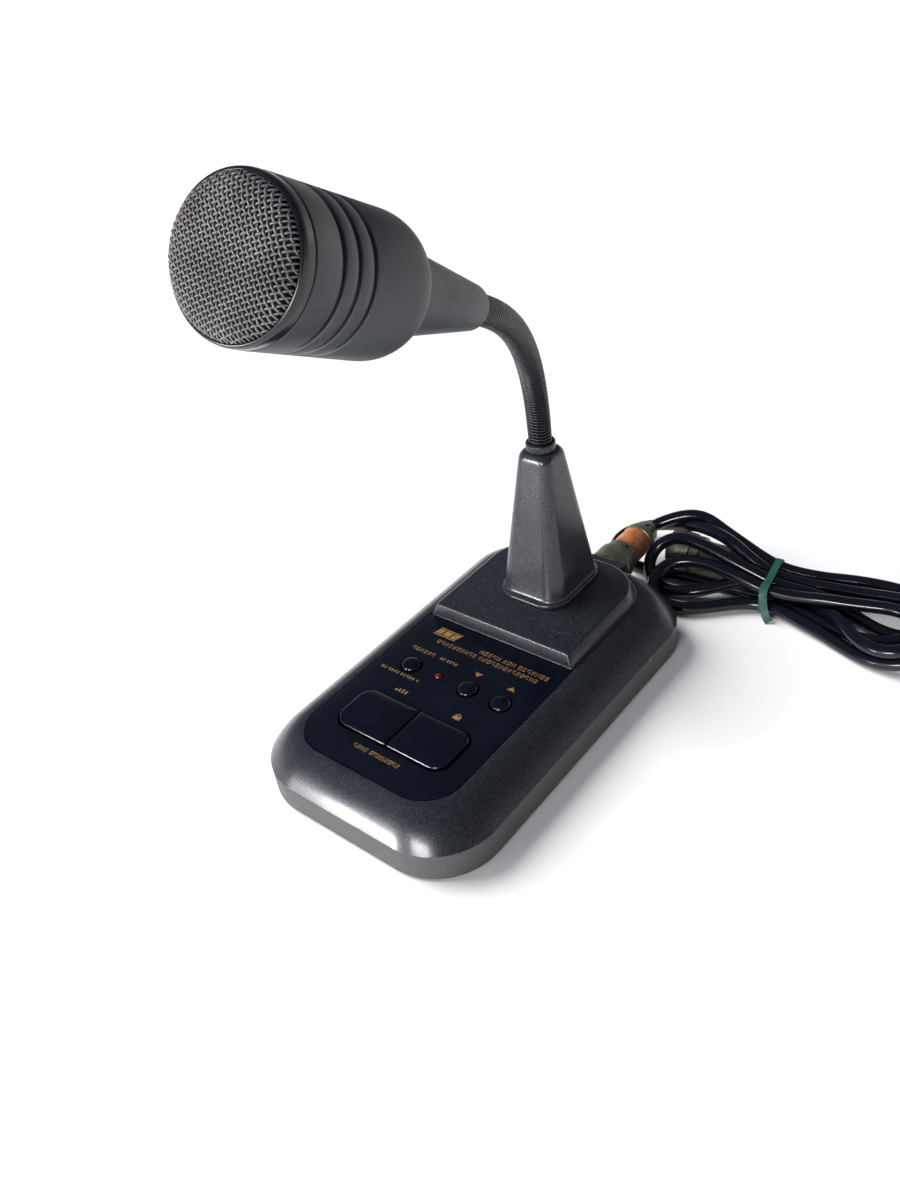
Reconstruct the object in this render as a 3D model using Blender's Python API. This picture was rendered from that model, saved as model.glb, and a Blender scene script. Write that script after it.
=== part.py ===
"""Desk microphone on a gooseneck, with its control base, plug and tied cord.

Metres, +Z up. The operator sits on the -Y side.
The origin is on the desk, under the middle of the base.
"""

import math

import bmesh
import bpy
from mathutils import Matrix, Vector

MM = 0.001
GAP = 0.3 * MM  # between pieces that touch
SAME_POINT = 1e-7

# Base: a cover with upright sides and a swelling shoulder, around a flat deck.
BASE_W = 110 * MM
BASE_L = 183 * MM
BASE_R_FRONT = 28 * MM
BASE_R_REAR = 24 * MM
RIM_Z = 1.0 * MM
CREASE_Z = 14 * MM
DECK_Z = 26.4 * MM
DECK_W = 77.8 * MM
DECK_FRONT = -77.8 * MM
DECK_REAR = 83.6 * MM
DECK_R_FRONT = 17 * MM
DECK_R_REAR = 22 * MM
SHOULDER_POWER = 2.0
WALL = 2.5 * MM
LEDGE = 4.0 * MM
PANEL_T = 1.2 * MM
FOOT_H = 1.3 * MM
FOOT_PLACES = [(x * MM, y * MM) for x in (-40, 40) for y in (-68, 68)]
PLATE_Z = 1.6 * MM
PLATE_T = 1.5 * MM
SCREW_PLACES = [(x * MM, y * MM) for x in (-43, 43) for y in (-48, 48)]
SCREW_BOSS = 3.5 * MM
HATCH_Y = 46 * MM

# Raised platform at the back of the deck, and the tower that stands on it.
PLATFORM_Y = 14.7 * MM
PLATFORM_H = 6.1 * MM
PLATFORM_TOP_W = 70.4 * MM
TOWER_Y = 56 * MM
TOWER_TOP_Z = 100.9 * MM
TOWER_TOP = 15.5 * MM
COLLAR_R = 6.35 * MM
COLLAR_H = 3.4 * MM

# Gooseneck and head.
NECK_R = 5.0 * MM
NECK_BORE = 5.35 * MM
NECK_FROM = Vector((0, 56, 92)) * MM
NECK_START = Vector((0, 56, 103)) * MM
NECK_END = Vector((32.4, -18.4, 194.5)) * MM
HEAD_DIR = Vector((0.1426, -0.8803, 0.4524)).normalized()
NECK_RISE = 50 * MM
NECK_RUN = 27 * MM
NECK_JOINTS = 5
TAPER = 0.6
TAPER_GAP = 0.6 * MM
TAPER_L = 2.1 * MM
HEAD_R = 19 * MM
CONE_L = 50 * MM
CONE_R = 12.7 * MM
SHOULDER_L = 10.6 * MM
BARREL_END = 103 * MM
HEAD_L = 108 * MM
GRILLE_R = 17.6 * MM
GRILLE_RISE = 6.1 * MM
GRILLE_FROM = HEAD_L - 2.5 * MM
GROOVES = (80.5 * MM, 86.8 * MM, 92.9 * MM)
GROOVE_W = 2.0 * MM
GROOVE_D = 1.0 * MM

# Controls.
BUTTON_Y = -17.9 * MM
POWER_X = -22.6 * MM
LED_X = -7.8 * MM
DOWN_X = 8.0 * MM
UP_X = 25.0 * MM
BUTTON_R = 4.3 * MM
WELL_R = 4.75 * MM
KEY_W = 28.1 * MM
KEY_FRONT = -61.2 * MM
KEY_REAR = -38.6 * MM
KEY_SPLIT = 0.35 * MM
KEY_PIVOT = Vector((0, -40.0, 21.5)) * MM
KEY_PIN_R = 1.0 * MM
BOARD_Z = 14 * MM
BOARD_T = 1.6 * MM

# Rear socket, plug and cord.
PLUG_X = 5 * MM
PLUG_Z = 15 * MM
REAR_Y = BASE_L / 2
SOCKET_R = 7.8 * MM
SOCKET_FLANGE_R = 8.9 * MM
SOCKET_LAND = 0.4 * MM
CORD_R = 3.0 * MM
PLUG_EXIT_Y = 137.5 * MM
HANK_Z = (1.3 * MM, 13.0 * MM)
TIE_X = 74 * MM
TIE_W = 4.5 * MM
TIE_T = 0.9 * MM
FAR_PLUG = Vector((20, 135, 10.4)) * MM

LEAD_ROUTE = [
    (5, 131.5, 15),
    (5, 138, 15.1),
    (6.7, 144.2, 16),
    (11.2, 148.6, 17.2),
    (17.5, 150, 17.9),
    (25, 148, 18.2),
    (34, 144.8, 18.6),
    (41, 142.3, 20.2),
    (48, 140.3, 20.8),
    (55, 138.8, 19.8),
    (62, 138, 16.8),
]
HANK_OUTLINE = [
    (16.5, 112), (21, 100.5), (33, 95.2), (47, 96.5), (59, 107), (70, 119.5), (78, 119.5),
    (90, 112), (108, 104), (130, 100), (152, 103), (166, 113), (169, 126), (163, 141),
    (148, 150), (128, 153), (108, 149.5), (92, 146), (78, 144), (70, 144), (57, 146),
    (40, 148.5), (27, 147.5), (19, 141), (16, 127),
]

for old in list(bpy.data.objects):
    bpy.data.objects.remove(old, do_unlink=True)


def material(name, colour, roughness, metallic=0.0):
    made = bpy.data.materials.new(name)
    made.use_nodes = True
    shader = made.node_tree.nodes["Principled BSDF"]
    shader.inputs["Base Color"].default_value = (*colour, 1)
    shader.inputs["Roughness"].default_value = roughness
    shader.inputs["Metallic"].default_value = metallic
    return made


CHARCOAL = ((0.035, 0.036, 0.040), 0.42, 0.35)
GLOSS_BLACK = ((0.008, 0.009, 0.014), 0.14, 0.0)
BLACK_RUBBER = ((0.02, 0.02, 0.02), 0.75, 0.0)
STEEL = ((0.55, 0.55, 0.56), 0.35, 1.0)
NICKEL = ((0.30, 0.28, 0.22), 0.45, 1.0)
HEAD_PLASTIC = ((0.045, 0.052, 0.060), 0.5, 0.0)
SWITCH_GREY = ((0.06, 0.06, 0.06), 0.5, 0.0)
CELL_JACKET = ((0.35, 0.28, 0.08), 0.35, 0.4)
NECK_STEEL = ((0.012, 0.012, 0.013), 0.35, 0.4)
MESH_METAL = ((0.16, 0.145, 0.135), 0.45, 0.8)
LAMP_RED = ((0.35, 0.01, 0.02), 0.15, 0.0)
BOARD_GREEN = ((0.05, 0.16, 0.06), 0.4, 0.0)
BAND_ORANGE = ((0.62, 0.16, 0.05), 0.4, 0.0)
TIE_GREEN = ((0.02, 0.10, 0.07), 0.5, 0.0)


def finish(name, bm, look, parent=None, location=(0, 0, 0)):
    """A named object from a bmesh, with its own material, at a place under its parent."""
    bmesh.ops.remove_doubles(bm, verts=bm.verts, dist=SAME_POINT)
    bmesh.ops.recalc_face_normals(bm, faces=bm.faces)
    mesh = bpy.data.meshes.new(name)
    bm.to_mesh(mesh)
    bm.free()
    mesh.shade_smooth()
    mesh.set_sharp_from_angle(angle=math.radians(32))
    mesh.materials.append(material(name, *look))
    made = bpy.data.objects.new(name, mesh)
    bpy.context.collection.objects.link(made)
    made.parent = parent
    made.location = location
    return made


def helper(made):
    made.hide_render = True
    made.display_type = "WIRE"
    return made


def boolean(target, other, operation):
    """Cuts or joins a helper object, which stays out of the model."""
    helper(other)
    change = target.modifiers.new(operation.title(), "BOOLEAN")
    change.operation = operation
    change.solver = "EXACT"
    change.object = other


def outline(width, y0, y1, r_front, r_rear, z, steps=6, x=0.0):
    """A rounded rectangle as points, counter-clockwise seen from above."""
    half = width / 2
    corners = [
        (x + half - r_front, y0 + r_front, r_front, -90),
        (x + half - r_rear, y1 - r_rear, r_rear, 0),
        (x - half + r_rear, y1 - r_rear, r_rear, 90),
        (x - half + r_front, y0 + r_front, r_front, 180),
    ]
    points = []
    for cx, cy, r, start in corners:
        for i in range(steps + 1):
            angle = math.radians(start + 90 * i / steps)
            spoke = Vector((math.cos(angle), math.sin(angle), 0))
            points.append(Vector((cx, cy, z)) + spoke * r)
    return points


def loft(rings, ring_shaped=False):
    """A closed skin over rings of equal counts: capped at both ends, or joined end to start."""
    bm = bmesh.new()
    rows = [[bm.verts.new(p) for p in ring] for ring in rings]
    count = len(rows[0])
    pairs = list(zip(rows, rows[1:]))
    if ring_shaped:
        pairs.append((rows[-1], rows[0]))
    else:
        bm.faces.new(rows[0])
        bm.faces.new(list(reversed(rows[-1])))
    for low, high in pairs:
        for i in range(count):
            j = (i + 1) % count
            bm.faces.new((low[i], low[j], high[j], high[i]))
    return bm


def loop_edges(bm, ring):
    """The edges round a ring of vertices, made where they are missing."""
    found = []
    for a, b in zip(ring, ring[1:] + ring[:1]):
        found.append(bm.edges.get((a, b)) or bm.edges.new((a, b)))
    return found


def cup(outer, inner):
    """A closed lid or cup: rings up its outside to a roof, then down its inside to the same rim."""
    bm = bmesh.new()
    for rings in (outer, inner):
        rows = [[bm.verts.new(p) for p in ring] for ring in rings]
        roof = rows[-1] if rings is outer else rows[0]
        bm.faces.new(roof)
        for low, high in zip(rows, rows[1:]):
            bmesh.ops.bridge_loops(bm, edges=loop_edges(bm, low) + loop_edges(bm, high))
        if rings is outer:
            rim = loop_edges(bm, rows[0])
        else:
            rim += loop_edges(bm, rows[-1])
    bmesh.ops.bridge_loops(bm, edges=rim)
    return bm


def turned(profile, sides=32, axis="Z"):
    """A turned solid from (distance along the axis, radius) points, closed on the axis or itself."""
    bm = bmesh.new()
    rows = []
    for along, radius in profile:
        if radius < SAME_POINT:
            rows.append([bm.verts.new((0, 0, along))])
            continue
        ring = []
        for i in range(sides):
            angle = 2 * math.pi * i / sides
            x, y = radius * math.cos(angle), radius * math.sin(angle)
            ring.append(bm.verts.new((x, y, along)))
        rows.append(ring)
    touches_axis = len(rows[0]) == 1 and len(rows[-1]) == 1
    pairs = list(zip(rows, rows[1:]))
    if not touches_axis:
        pairs.append((rows[-1], rows[0]))
    for first, second in pairs:
        for i in range(sides):
            j = (i + 1) % sides
            low = [first[i % len(first)], first[j % len(first)]]
            high = [second[j % len(second)], second[i % len(second)]]
            corners = list(dict.fromkeys(low + high))
            if len(corners) > 2:
                bm.faces.new(corners)
    if axis == "Y":
        bmesh.ops.rotate(bm, verts=bm.verts, matrix=Matrix.Rotation(math.radians(-90), 3, "X"))
    if axis == "X":
        bmesh.ops.rotate(bm, verts=bm.verts, matrix=Matrix.Rotation(math.radians(90), 3, "Y"))
    return bm


def box(x0, x1, y0, y1, z0, z1, rounding=0.0):
    bm = bmesh.new()
    bmesh.ops.create_cube(bm, size=1)
    for v in bm.verts:
        v.co = Vector((
            x1 if v.co.x > 0 else x0,
            y1 if v.co.y > 0 else y0,
            z1 if v.co.z > 0 else z0,
        ))
    if rounding:
        bmesh.ops.bevel(bm, geom=bm.edges[:], offset=rounding, segments=1, affect="EDGES")
    return bm


def disc(radius, z0, z1, sides=32, axis="Z"):
    return turned([(z0, 0), (z0, radius), (z1, radius), (z1, 0)], sides, axis)


def tube(inner, outer, start, end, sides=32, axis="Z"):
    return turned([(start, inner), (start, outer), (end, outer), (end, inner)], sides, axis)


# Base cover, deck panel and platform.


def shoulder_ring(t):
    """The cover's cross-section at a share t of the way from its crease to the deck."""
    z = CREASE_Z + (DECK_Z - CREASE_Z) * (1 - (1 - t) ** SHOULDER_POWER)

    def between(a, b):
        return a + (b - a) * t

    return outline(
        between(BASE_W, DECK_W),
        between(-BASE_L / 2, DECK_FRONT),
        between(BASE_L / 2, DECK_REAR),
        between(BASE_R_FRONT, DECK_R_FRONT),
        between(BASE_R_REAR, DECK_R_REAR),
        z,
    )


def deck_outline(inset, z):
    return outline(
        DECK_W - 2 * inset,
        DECK_FRONT + inset,
        DECK_REAR - inset,
        DECK_R_FRONT - inset,
        DECK_R_REAR - inset,
        z,
    )


def base_outline(inset, z):
    return outline(
        BASE_W - 2 * inset,
        -BASE_L / 2 + inset,
        BASE_L / 2 - inset,
        BASE_R_FRONT - inset,
        BASE_R_REAR - inset,
        z,
    )


LEDGE_Z = DECK_Z - PANEL_T - GAP


def top_cover():
    shares = (0, 0.04, 0.1, 0.18, 0.3, 0.48, 0.72, 1)
    outer = [base_outline(0.6 * MM, RIM_Z), base_outline(0, RIM_Z + 0.6 * MM)]
    outer += [shoulder_ring(t) for t in shares]
    recess = [
        deck_outline(0, LEDGE_Z),
        deck_outline(LEDGE, LEDGE_Z),
        deck_outline(LEDGE, LEDGE_Z - WALL),
    ]
    inner = [
        base_outline(WALL + 2.0 * MM, CREASE_Z + 4 * MM),
        base_outline(WALL, CREASE_Z),
        base_outline(WALL, RIM_Z),
    ]
    cover = finish("top_cover", loft(outer + recess + inner, ring_shaped=True), CHARCOAL)
    x0, x1 = PLUG_X - 13 * MM, PLUG_X + 13 * MM
    boss = box(x0, x1, REAR_Y - 6 * MM, REAR_Y + SOCKET_LAND, 3.5 * MM, 25 * MM)
    boolean(cover, finish("socket_boss", boss, CHARCOAL), "UNION")
    for x, y in SCREW_PLACES:
        wall_x = math.copysign(BASE_W / 2 - 1 * MM, x)
        inner_x = x - math.copysign(SCREW_BOSS, x)
        low = PLATE_Z + PLATE_T + GAP
        x0, x1 = min(inner_x, wall_x), max(inner_x, wall_x)
        post = box(x0, x1, y - SCREW_BOSS, y + SCREW_BOSS, low, CREASE_Z)
        boolean(cover, finish("screw_boss", post, CHARCOAL), "UNION")
        pilot = disc(1.8 * MM, -2 * MM, 8.6 * MM, 16)
        boolean(cover, finish("screw_pilot", pilot, CHARCOAL, location=(x, y, PLATE_Z)), "DIFFERENCE")
    hole = turned([
        (-20 * MM, 0),
        (-20 * MM, SOCKET_FLANGE_R + 2 * GAP),
        (-6 * MM, SOCKET_FLANGE_R + 2 * GAP),
        (-6 * MM, SOCKET_R + GAP),
        (20 * MM, SOCKET_R + GAP),
        (20 * MM, 0),
    ], 32, "Y")
    cutter = finish("socket_hole", hole, CHARCOAL, location=(PLUG_X, REAR_Y, PLUG_Z))
    boolean(cover, cutter, "DIFFERENCE")


def control_panel():
    edge = GAP
    rear = PLATFORM_Y - 2 * GAP

    def ring(z):
        half = DECK_W / 2 - edge
        front = DECK_FRONT + edge
        return outline(2 * half, front, rear, DECK_R_FRONT - edge, 0.4 * MM, z)

    low = DECK_Z - PANEL_T
    panel = finish("control_panel", loft([ring(low), ring(DECK_Z)]), GLOSS_BLACK)
    y = KEY_PIVOT.y
    for x0 in (-KEY_W - 4.0 * MM, KEY_W + 1.6 * MM):
        ear = box(x0, x0 + 2.4 * MM, y - 2 * MM, y + 2 * MM, KEY_PIVOT.z - 2 * MM, low + 0.5 * MM)
        boolean(panel, finish("pin_ear", ear, GLOSS_BLACK), "UNION")
    width = 2 * (KEY_W + 0.6 * MM)
    window = loft([
        outline(width, KEY_FRONT - 0.8 * MM, KEY_REAR + 0.5 * MM, 5 * MM, 5 * MM, z, steps=4)
        for z in (low - 1 * MM, DECK_Z + 1 * MM)
    ])
    boolean(panel, finish("key_window", window, GLOSS_BLACK), "DIFFERENCE")
    for x, radius in ((POWER_X, WELL_R), (DOWN_X, WELL_R), (UP_X, WELL_R), (LED_X, 1.75 * MM)):
        well = disc(radius, -5 * MM, 5 * MM, 24)
        cutter = finish("well", well, GLOSS_BLACK, location=(x, BUTTON_Y, DECK_Z))
        boolean(panel, cutter, "DIFFERENCE")
    bore = disc(KEY_PIN_R + GAP, -40 * MM, 40 * MM, 16, "X")
    boolean(panel, finish("pin_bore", bore, GLOSS_BLACK, location=KEY_PIVOT), "DIFFERENCE")


def rear_platform():
    low = LEDGE_Z + GAP
    top = DECK_Z + PLATFORM_H

    def ring(inset_side, inset_front, z, depth=0.0):
        return outline(
            DECK_W - 2 * (GAP + inset_side + depth),
            PLATFORM_Y + inset_front + depth,
            DECK_REAR - GAP - inset_side - depth,
            0.8 * MM,
            DECK_R_REAR - GAP - inset_side * 0.7 - depth,
            z,
        )

    side = (DECK_W - PLATFORM_TOP_W) / 2
    outer = [
        ring(0, 0, low),
        ring(0, 0, DECK_Z),
        ring(0.9 * MM, 0.5 * MM, DECK_Z + 0.2 * MM),
        ring(side - 0.6 * MM, 2.0 * MM, top - 0.9 * MM),
        ring(side + 0.6 * MM, 3.1 * MM, top),
    ]
    inner = [
        ring(side + 1.6 * MM, 3.4 * MM, top - WALL),
        ring(2.6 * MM, 2.6 * MM, DECK_Z),
        ring(2.6 * MM, 2.6 * MM, low),
    ]
    platform = finish("rear_platform", cup(outer, inner), CHARCOAL)
    duct = finish("wire_duct", disc(7 * MM, -8 * MM, 8 * MM, 24), CHARCOAL, location=(0, TOWER_Y, top))
    boolean(platform, duct, "DIFFERENCE")


def neck_tower():
    low = DECK_Z + PLATFORM_H + GAP

    def ring(wide, deep, r, z):
        return outline(wide, TOWER_Y - deep / 2, TOWER_Y + deep / 2, r, r, z)

    outer = [
        ring(34.9 * MM, 42 * MM, 11.5 * MM, low),
        ring(34.9 * MM, 42 * MM, 11.5 * MM, low + 1.4 * MM),
        ring(33.7 * MM, 40 * MM, 10.5 * MM, low + 2.3 * MM),
        ring(31.7 * MM, 37 * MM, 8 * MM, low + 2.9 * MM),
        ring(TOWER_TOP + 1.0 * MM, TOWER_TOP + 1.2 * MM, 4.4 * MM, TOWER_TOP_Z - 4 * MM),
        ring(TOWER_TOP - 0.6 * MM, TOWER_TOP - 0.6 * MM, 4.2 * MM, TOWER_TOP_Z - 1.2 * MM),
        ring(TOWER_TOP - 3.2 * MM, TOWER_TOP - 3.2 * MM, 5.4 * MM, TOWER_TOP_Z),
    ]
    bore = 2 * NECK_BORE
    inner = [
        ring(bore, bore, NECK_BORE * 0.97, TOWER_TOP_Z),
        ring(bore, bore, NECK_BORE * 0.97, TOWER_TOP_Z - 12 * MM),
        ring(13.5 * MM, 14 * MM, 4 * MM, TOWER_TOP_Z - 13 * MM),
        ring(27 * MM, 32 * MM, 6 * MM, low + 3 * MM),
        ring(27 * MM, 32 * MM, 6 * MM, low),
    ]
    finish("neck_tower", loft(outer + inner, ring_shaped=True), CHARCOAL)
    collar = turned([
        (TOWER_TOP_Z + GAP, NECK_BORE),
        (TOWER_TOP_Z + GAP, COLLAR_R),
        (TOWER_TOP_Z + GAP + COLLAR_H - 0.6 * MM, COLLAR_R),
        (TOWER_TOP_Z + GAP + COLLAR_H, COLLAR_R - 0.6 * MM),
        (TOWER_TOP_Z + GAP + COLLAR_H, NECK_BORE),
    ], 32)
    finish("tower_collar", collar, CHARCOAL, location=(0, TOWER_Y, 0))


def bottom():
    low = PLATE_Z
    plate = finish(
        "bottom_plate",
        loft([base_outline(WALL + GAP, low), base_outline(WALL + GAP, low + PLATE_T)]),
        STEEL,
    )
    hatch = loft([
        outline(35 * MM, HATCH_Y - 29 * MM, HATCH_Y + 29 * MM, 3 * MM, 3 * MM, z, 3)
        for z in (-1 * MM, 5 * MM)
    ])
    boolean(plate, finish("battery_hatch", hatch, STEEL), "DIFFERENCE")
    for i, (x, y) in enumerate(FOOT_PLACES, start=1):
        foot = turned([(0, 0), (0, 5.7 * MM), (0.3 * MM, 6 * MM), (FOOT_H, 6 * MM), (FOOT_H, 0)], 20)
        finish(f"rubber_foot_{i}", foot, BLACK_RUBBER, location=(x, y, 0))
    for i, (x, y) in enumerate(SCREW_PLACES, start=1):
        place = (x, y, low)
        hole = finish("screw_hole", disc(1.8 * MM, -3 * MM, 5 * MM, 16), STEEL, location=place)
        boolean(plate, hole, "DIFFERENCE")
        screw = turned([
            (-0.9 * MM, 0),
            (-0.9 * MM, 2.0 * MM),
            (-0.3 * MM, 2.8 * MM),
            (-0.3 * MM, 1.5 * MM),
            (8 * MM, 1.5 * MM),
            (8 * MM, 0),
        ], 16)
        finish(f"bottom_screw_{i}", screw, STEEL, location=place)
    door = loft([
        outline(34.4 * MM, HATCH_Y - 28.7 * MM, HATCH_Y + 28.7 * MM, 2.7 * MM, 2.7 * MM, z, 3)
        for z in (low, low + PLATE_T)
    ])
    finish("battery_cover", door, BLACK_RUBBER)
    inside_z = low + PLATE_T + GAP
    tray = loft([
        outline(34 * MM, HATCH_Y - 28 * MM, HATCH_Y + 28 * MM, 2 * MM, 2 * MM, z, 2)
        for z in (inside_z, inside_z + 16.5 * MM)
    ])
    tray_object = finish("battery_box", tray, SWITCH_GREY)
    for side, name in ((-1, "battery_1"), (1, "battery_2")):
        x = side * 8 * MM
        z = low + PLATE_T + 8.2 * MM
        y0, y1 = HATCH_Y - 26.2 * MM, HATCH_Y + 26.2 * MM
        bay = box(x - 7.8 * MM, x + 7.8 * MM, y0, y1, z - 12 * MM, z + 7.7 * MM)
        boolean(tray_object, finish("battery_bay", bay, SWITCH_GREY), "DIFFERENCE")
        cell = turned([
            (-25 * MM, 0),
            (-25 * MM, 7.2 * MM),
            (23.5 * MM, 7.2 * MM),
            (23.5 * MM, 2.7 * MM),
            (25 * MM, 2.7 * MM),
            (25 * MM, 0),
        ], 24, "Y")
        finish(name, cell, CELL_JACKET, location=(x, HATCH_Y, z))
    top = BOARD_Z - 1.5 * MM
    weight = box(-31 * MM, 31 * MM, -80 * MM, 8 * MM, inside_z, top, rounding=1.5 * MM)
    finish("ballast_weight", weight, STEEL)


# Controls: keys, buttons, lamp, and what they press on.


def key(name, side):
    """One half of the talk switch, crowned, turning on the pin along its back edge."""
    x0 = side * KEY_SPLIT
    x1 = side * KEY_W
    left, right = min(x0, x1), max(x0, x1)
    low = DECK_Z - 3.0 * MM
    rise = 1.5 * MM

    def corner_round(x, y, inset):
        """Pulls a point of the cap's outer corners in to a radius."""
        radius = 6 * MM - inset
        centre_x = side * (KEY_W - inset - radius)
        if (x - centre_x) * side <= 0:
            return x, y
        for edge, way in ((KEY_FRONT + inset, -1), (KEY_REAR - inset, 1)):
            centre_y = edge - way * radius
            if (y - centre_y) * way > 0:
                off = Vector((x - centre_x, y - centre_y))
                if off.length > radius:
                    off = off.normalized() * radius
                return centre_x + off.x, centre_y + off.y
        return x, y

    columns, rows = 9, 9
    bm = bmesh.new()

    def sheet(inset, height):
        grid = []
        for i in range(rows):
            line = []
            for j in range(columns):
                x = left + (right - left) * j / (columns - 1)
                x = min(max(x, left + (inset if side < 0 else 0)), right - (inset if side > 0 else 0))
                y = KEY_FRONT + (KEY_REAR - KEY_FRONT) * i / (rows - 1)
                y = min(max(y, KEY_FRONT + inset), KEY_REAR - inset)
                x, y = corner_round(x, y, inset)
                line.append(bm.verts.new((x, y, height(x, y))))
            grid.append(line)
        return grid

    middle = (KEY_FRONT + KEY_REAR) / 2
    half = (KEY_REAR - KEY_FRONT) / 2

    def crown(x, y):
        across = max(0.0, 1 - ((y - middle) / half) ** 2)
        along = max(0.0, 1 - (abs(x) / KEY_W) ** 4)
        return DECK_Z + 0.9 * MM + rise * across + 0.7 * MM * along * across ** 0.5

    bottom_grid = sheet(0.0, lambda x, y: low)
    waist_grid = sheet(0.0, lambda x, y: DECK_Z + 0.5 * MM)
    top_grid = sheet(0.45 * MM, crown)

    def border(grid):
        points = grid[0][:] + [line[-1] for line in grid[1:]]
        points += grid[-1][-2::-1] + [line[0] for line in grid[-2:0:-1]]
        return points

    for grid, flip in ((bottom_grid, True), (top_grid, False)):
        for i in range(rows - 1):
            for j in range(columns - 1):
                corners = [grid[i][j], grid[i][j + 1], grid[i + 1][j + 1], grid[i + 1][j]]
                bm.faces.new(list(reversed(corners)) if flip else corners)
    for lower, upper in ((bottom_grid, waist_grid), (waist_grid, top_grid)):
        a, b = border(lower), border(upper)
        for i in range(len(a)):
            j = (i + 1) % len(a)
            bm.faces.new((a[i], a[j], b[j], b[i]))
    loose = [v for v in bm.verts if not v.link_faces]
    bmesh.ops.delete(bm, geom=loose, context="VERTS")
    bmesh.ops.translate(bm, verts=bm.verts, vec=-KEY_PIVOT)
    made = finish(name, bm, GLOSS_BLACK, location=KEY_PIVOT)
    lug = box(
        left + 3 * MM,
        right - 3 * MM,
        KEY_PIVOT.y - 1.9 * MM,
        KEY_PIVOT.y + 1.2 * MM,
        KEY_PIVOT.z - 1.9 * MM,
        low + 0.5 * MM,
    )
    boolean(made, finish(f"{name}_lug", lug, GLOSS_BLACK), "UNION")
    bore = disc(KEY_PIN_R + GAP, -40 * MM, 40 * MM, 16, "X")
    boolean(made, finish(f"{name}_bore", bore, GLOSS_BLACK, location=KEY_PIVOT), "DIFFERENCE")


def coil(name, x, y, z0, z1):
    """A compression spring, as a round wire swept along its helix."""
    turns, steps, around = 5, 8, 5
    radius, wire = 2.6 * MM, 0.28 * MM
    low, high = z0 + wire, z1 - wire
    rings = []
    for i in range(turns * steps + 1):
        angle = 2 * math.pi * i / steps
        outward = Vector((math.cos(angle), math.sin(angle), 0))
        centre = outward * radius
        centre.z = low + (high - low) * i / (turns * steps)
        rings.append([
            centre + outward * wire * math.cos(2 * math.pi * k / around)
            + Vector((0, 0, wire * math.sin(2 * math.pi * k / around)))
            for k in range(around)
        ])
    finish(name, loft(rings), STEEL, location=(x, y, 0))


def controls():
    top = BOARD_Z + BOARD_T
    board = loft([
        outline(64 * MM, -68 * MM, 8 * MM, 4 * MM, 2 * MM, z, 2) for z in (BOARD_Z, top)
    ])
    finish("circuit_board", board, BOARD_GREEN)
    for name, side in (("ptt", -1), ("lock", 1)):
        key(f"{name}_key", side)
        x = side * 15 * MM
        low = top + GAP
        x0, x1 = x - 6.4 * MM, x + 6.4 * MM
        body = box(x0, x1, -50 * MM, -44 * MM, low, low + 6.2 * MM, rounding=0.4 * MM)
        finish(f"{name}_switch", body, SWITCH_GREY)
        coil(f"{name}_spring", x, -55.5 * MM, low, DECK_Z - 3.0 * MM - GAP)
    pin = disc(KEY_PIN_R, -31.5 * MM, 31.5 * MM, 12, "X")
    finish("key_pin", pin, STEEL, location=KEY_PIVOT)
    for name, x, stem in (("power", POWER_X, -3.6), ("down", DOWN_X, -4.9), ("up", UP_X, -4.9)):
        cap = turned([
            (stem * MM, 0),
            (stem * MM, 1.5 * MM),
            (-1.6 * MM, 1.5 * MM),
            (-1.6 * MM, BUTTON_R),
            (0.5 * MM, BUTTON_R),
            (1.1 * MM, BUTTON_R * 0.93),
            (1.75 * MM, BUTTON_R * 0.72),
            (2.15 * MM, BUTTON_R * 0.4),
            (2.3 * MM, 0),
        ], 24)
        finish(f"{name}_button", cap, GLOSS_BLACK, location=(x, BUTTON_Y, DECK_Z))
        half = (4.0 if name == "power" else 3.0) * MM
        low = top + GAP
        y0, y1 = BUTTON_Y - half, BUTTON_Y + half
        body = box(x - half, x + half, y0, y1, low, low + 4.3 * MM, rounding=0.3 * MM)
        finish(f"{name}_switch", body, SWITCH_GREY)
    low = top + GAP - DECK_Z
    lamp = turned([
        (low, 0),
        (low, 0.9 * MM),
        (-5 * MM, 0.9 * MM),
        (-5 * MM, 1.9 * MM),
        (-4 * MM, 1.9 * MM),
        (-4 * MM, 1.45 * MM),
        (-0.2 * MM, 1.45 * MM),
        (0.6 * MM, 1.1 * MM),
        (0.95 * MM, 0.5 * MM),
        (1.05 * MM, 0),
    ], 20)
    finish("on_air_lamp", lamp, LAMP_RED, location=(LED_X, BUTTON_Y, DECK_Z))


# Gooseneck and head.


def neck_point(t):
    """The neck's centreline from the collar to the head, as one cubic curve, and its direction."""
    a = NECK_START
    b = NECK_START + Vector((0, 0, NECK_RISE))
    c = NECK_END - HEAD_DIR * NECK_RUN
    d = NECK_END
    u = 1 - t
    point = a * u**3 + b * (3 * u * u * t) + c * (3 * u * t * t) + d * t**3
    slope = (b - a) * (3 * u * u) + (c - b) * (6 * u * t) + (d - c) * (3 * t * t)
    return point, slope.normalized()


def neck_shares():
    """Where the neck bends: one pivot in the middle of each equal length of it."""
    fine = [neck_point(i / 400)[0] for i in range(401)]
    run = [0.0]
    for p, q in zip(fine, fine[1:]):
        run.append(run[-1] + (q - p).length)
    found = []
    for k in range(NECK_JOINTS):
        want = run[-1] * (k + 0.5) / NECK_JOINTS
        i = next(i for i, s in enumerate(run) if s >= want)
        found.append(i / 400)
    return found


def neck_ring(centre, along, radius, sides=18):
    """A ring of points square to the neck, all rings turned alike about it."""
    side = along.cross(Vector((0.3, 0.9, 0.1))).normalized() * radius
    other = along.cross(side)
    angles = [2 * math.pi * k / sides for k in range(sides)]
    return [centre + side * math.cos(angle) + other * math.sin(angle) for angle in angles]


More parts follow.
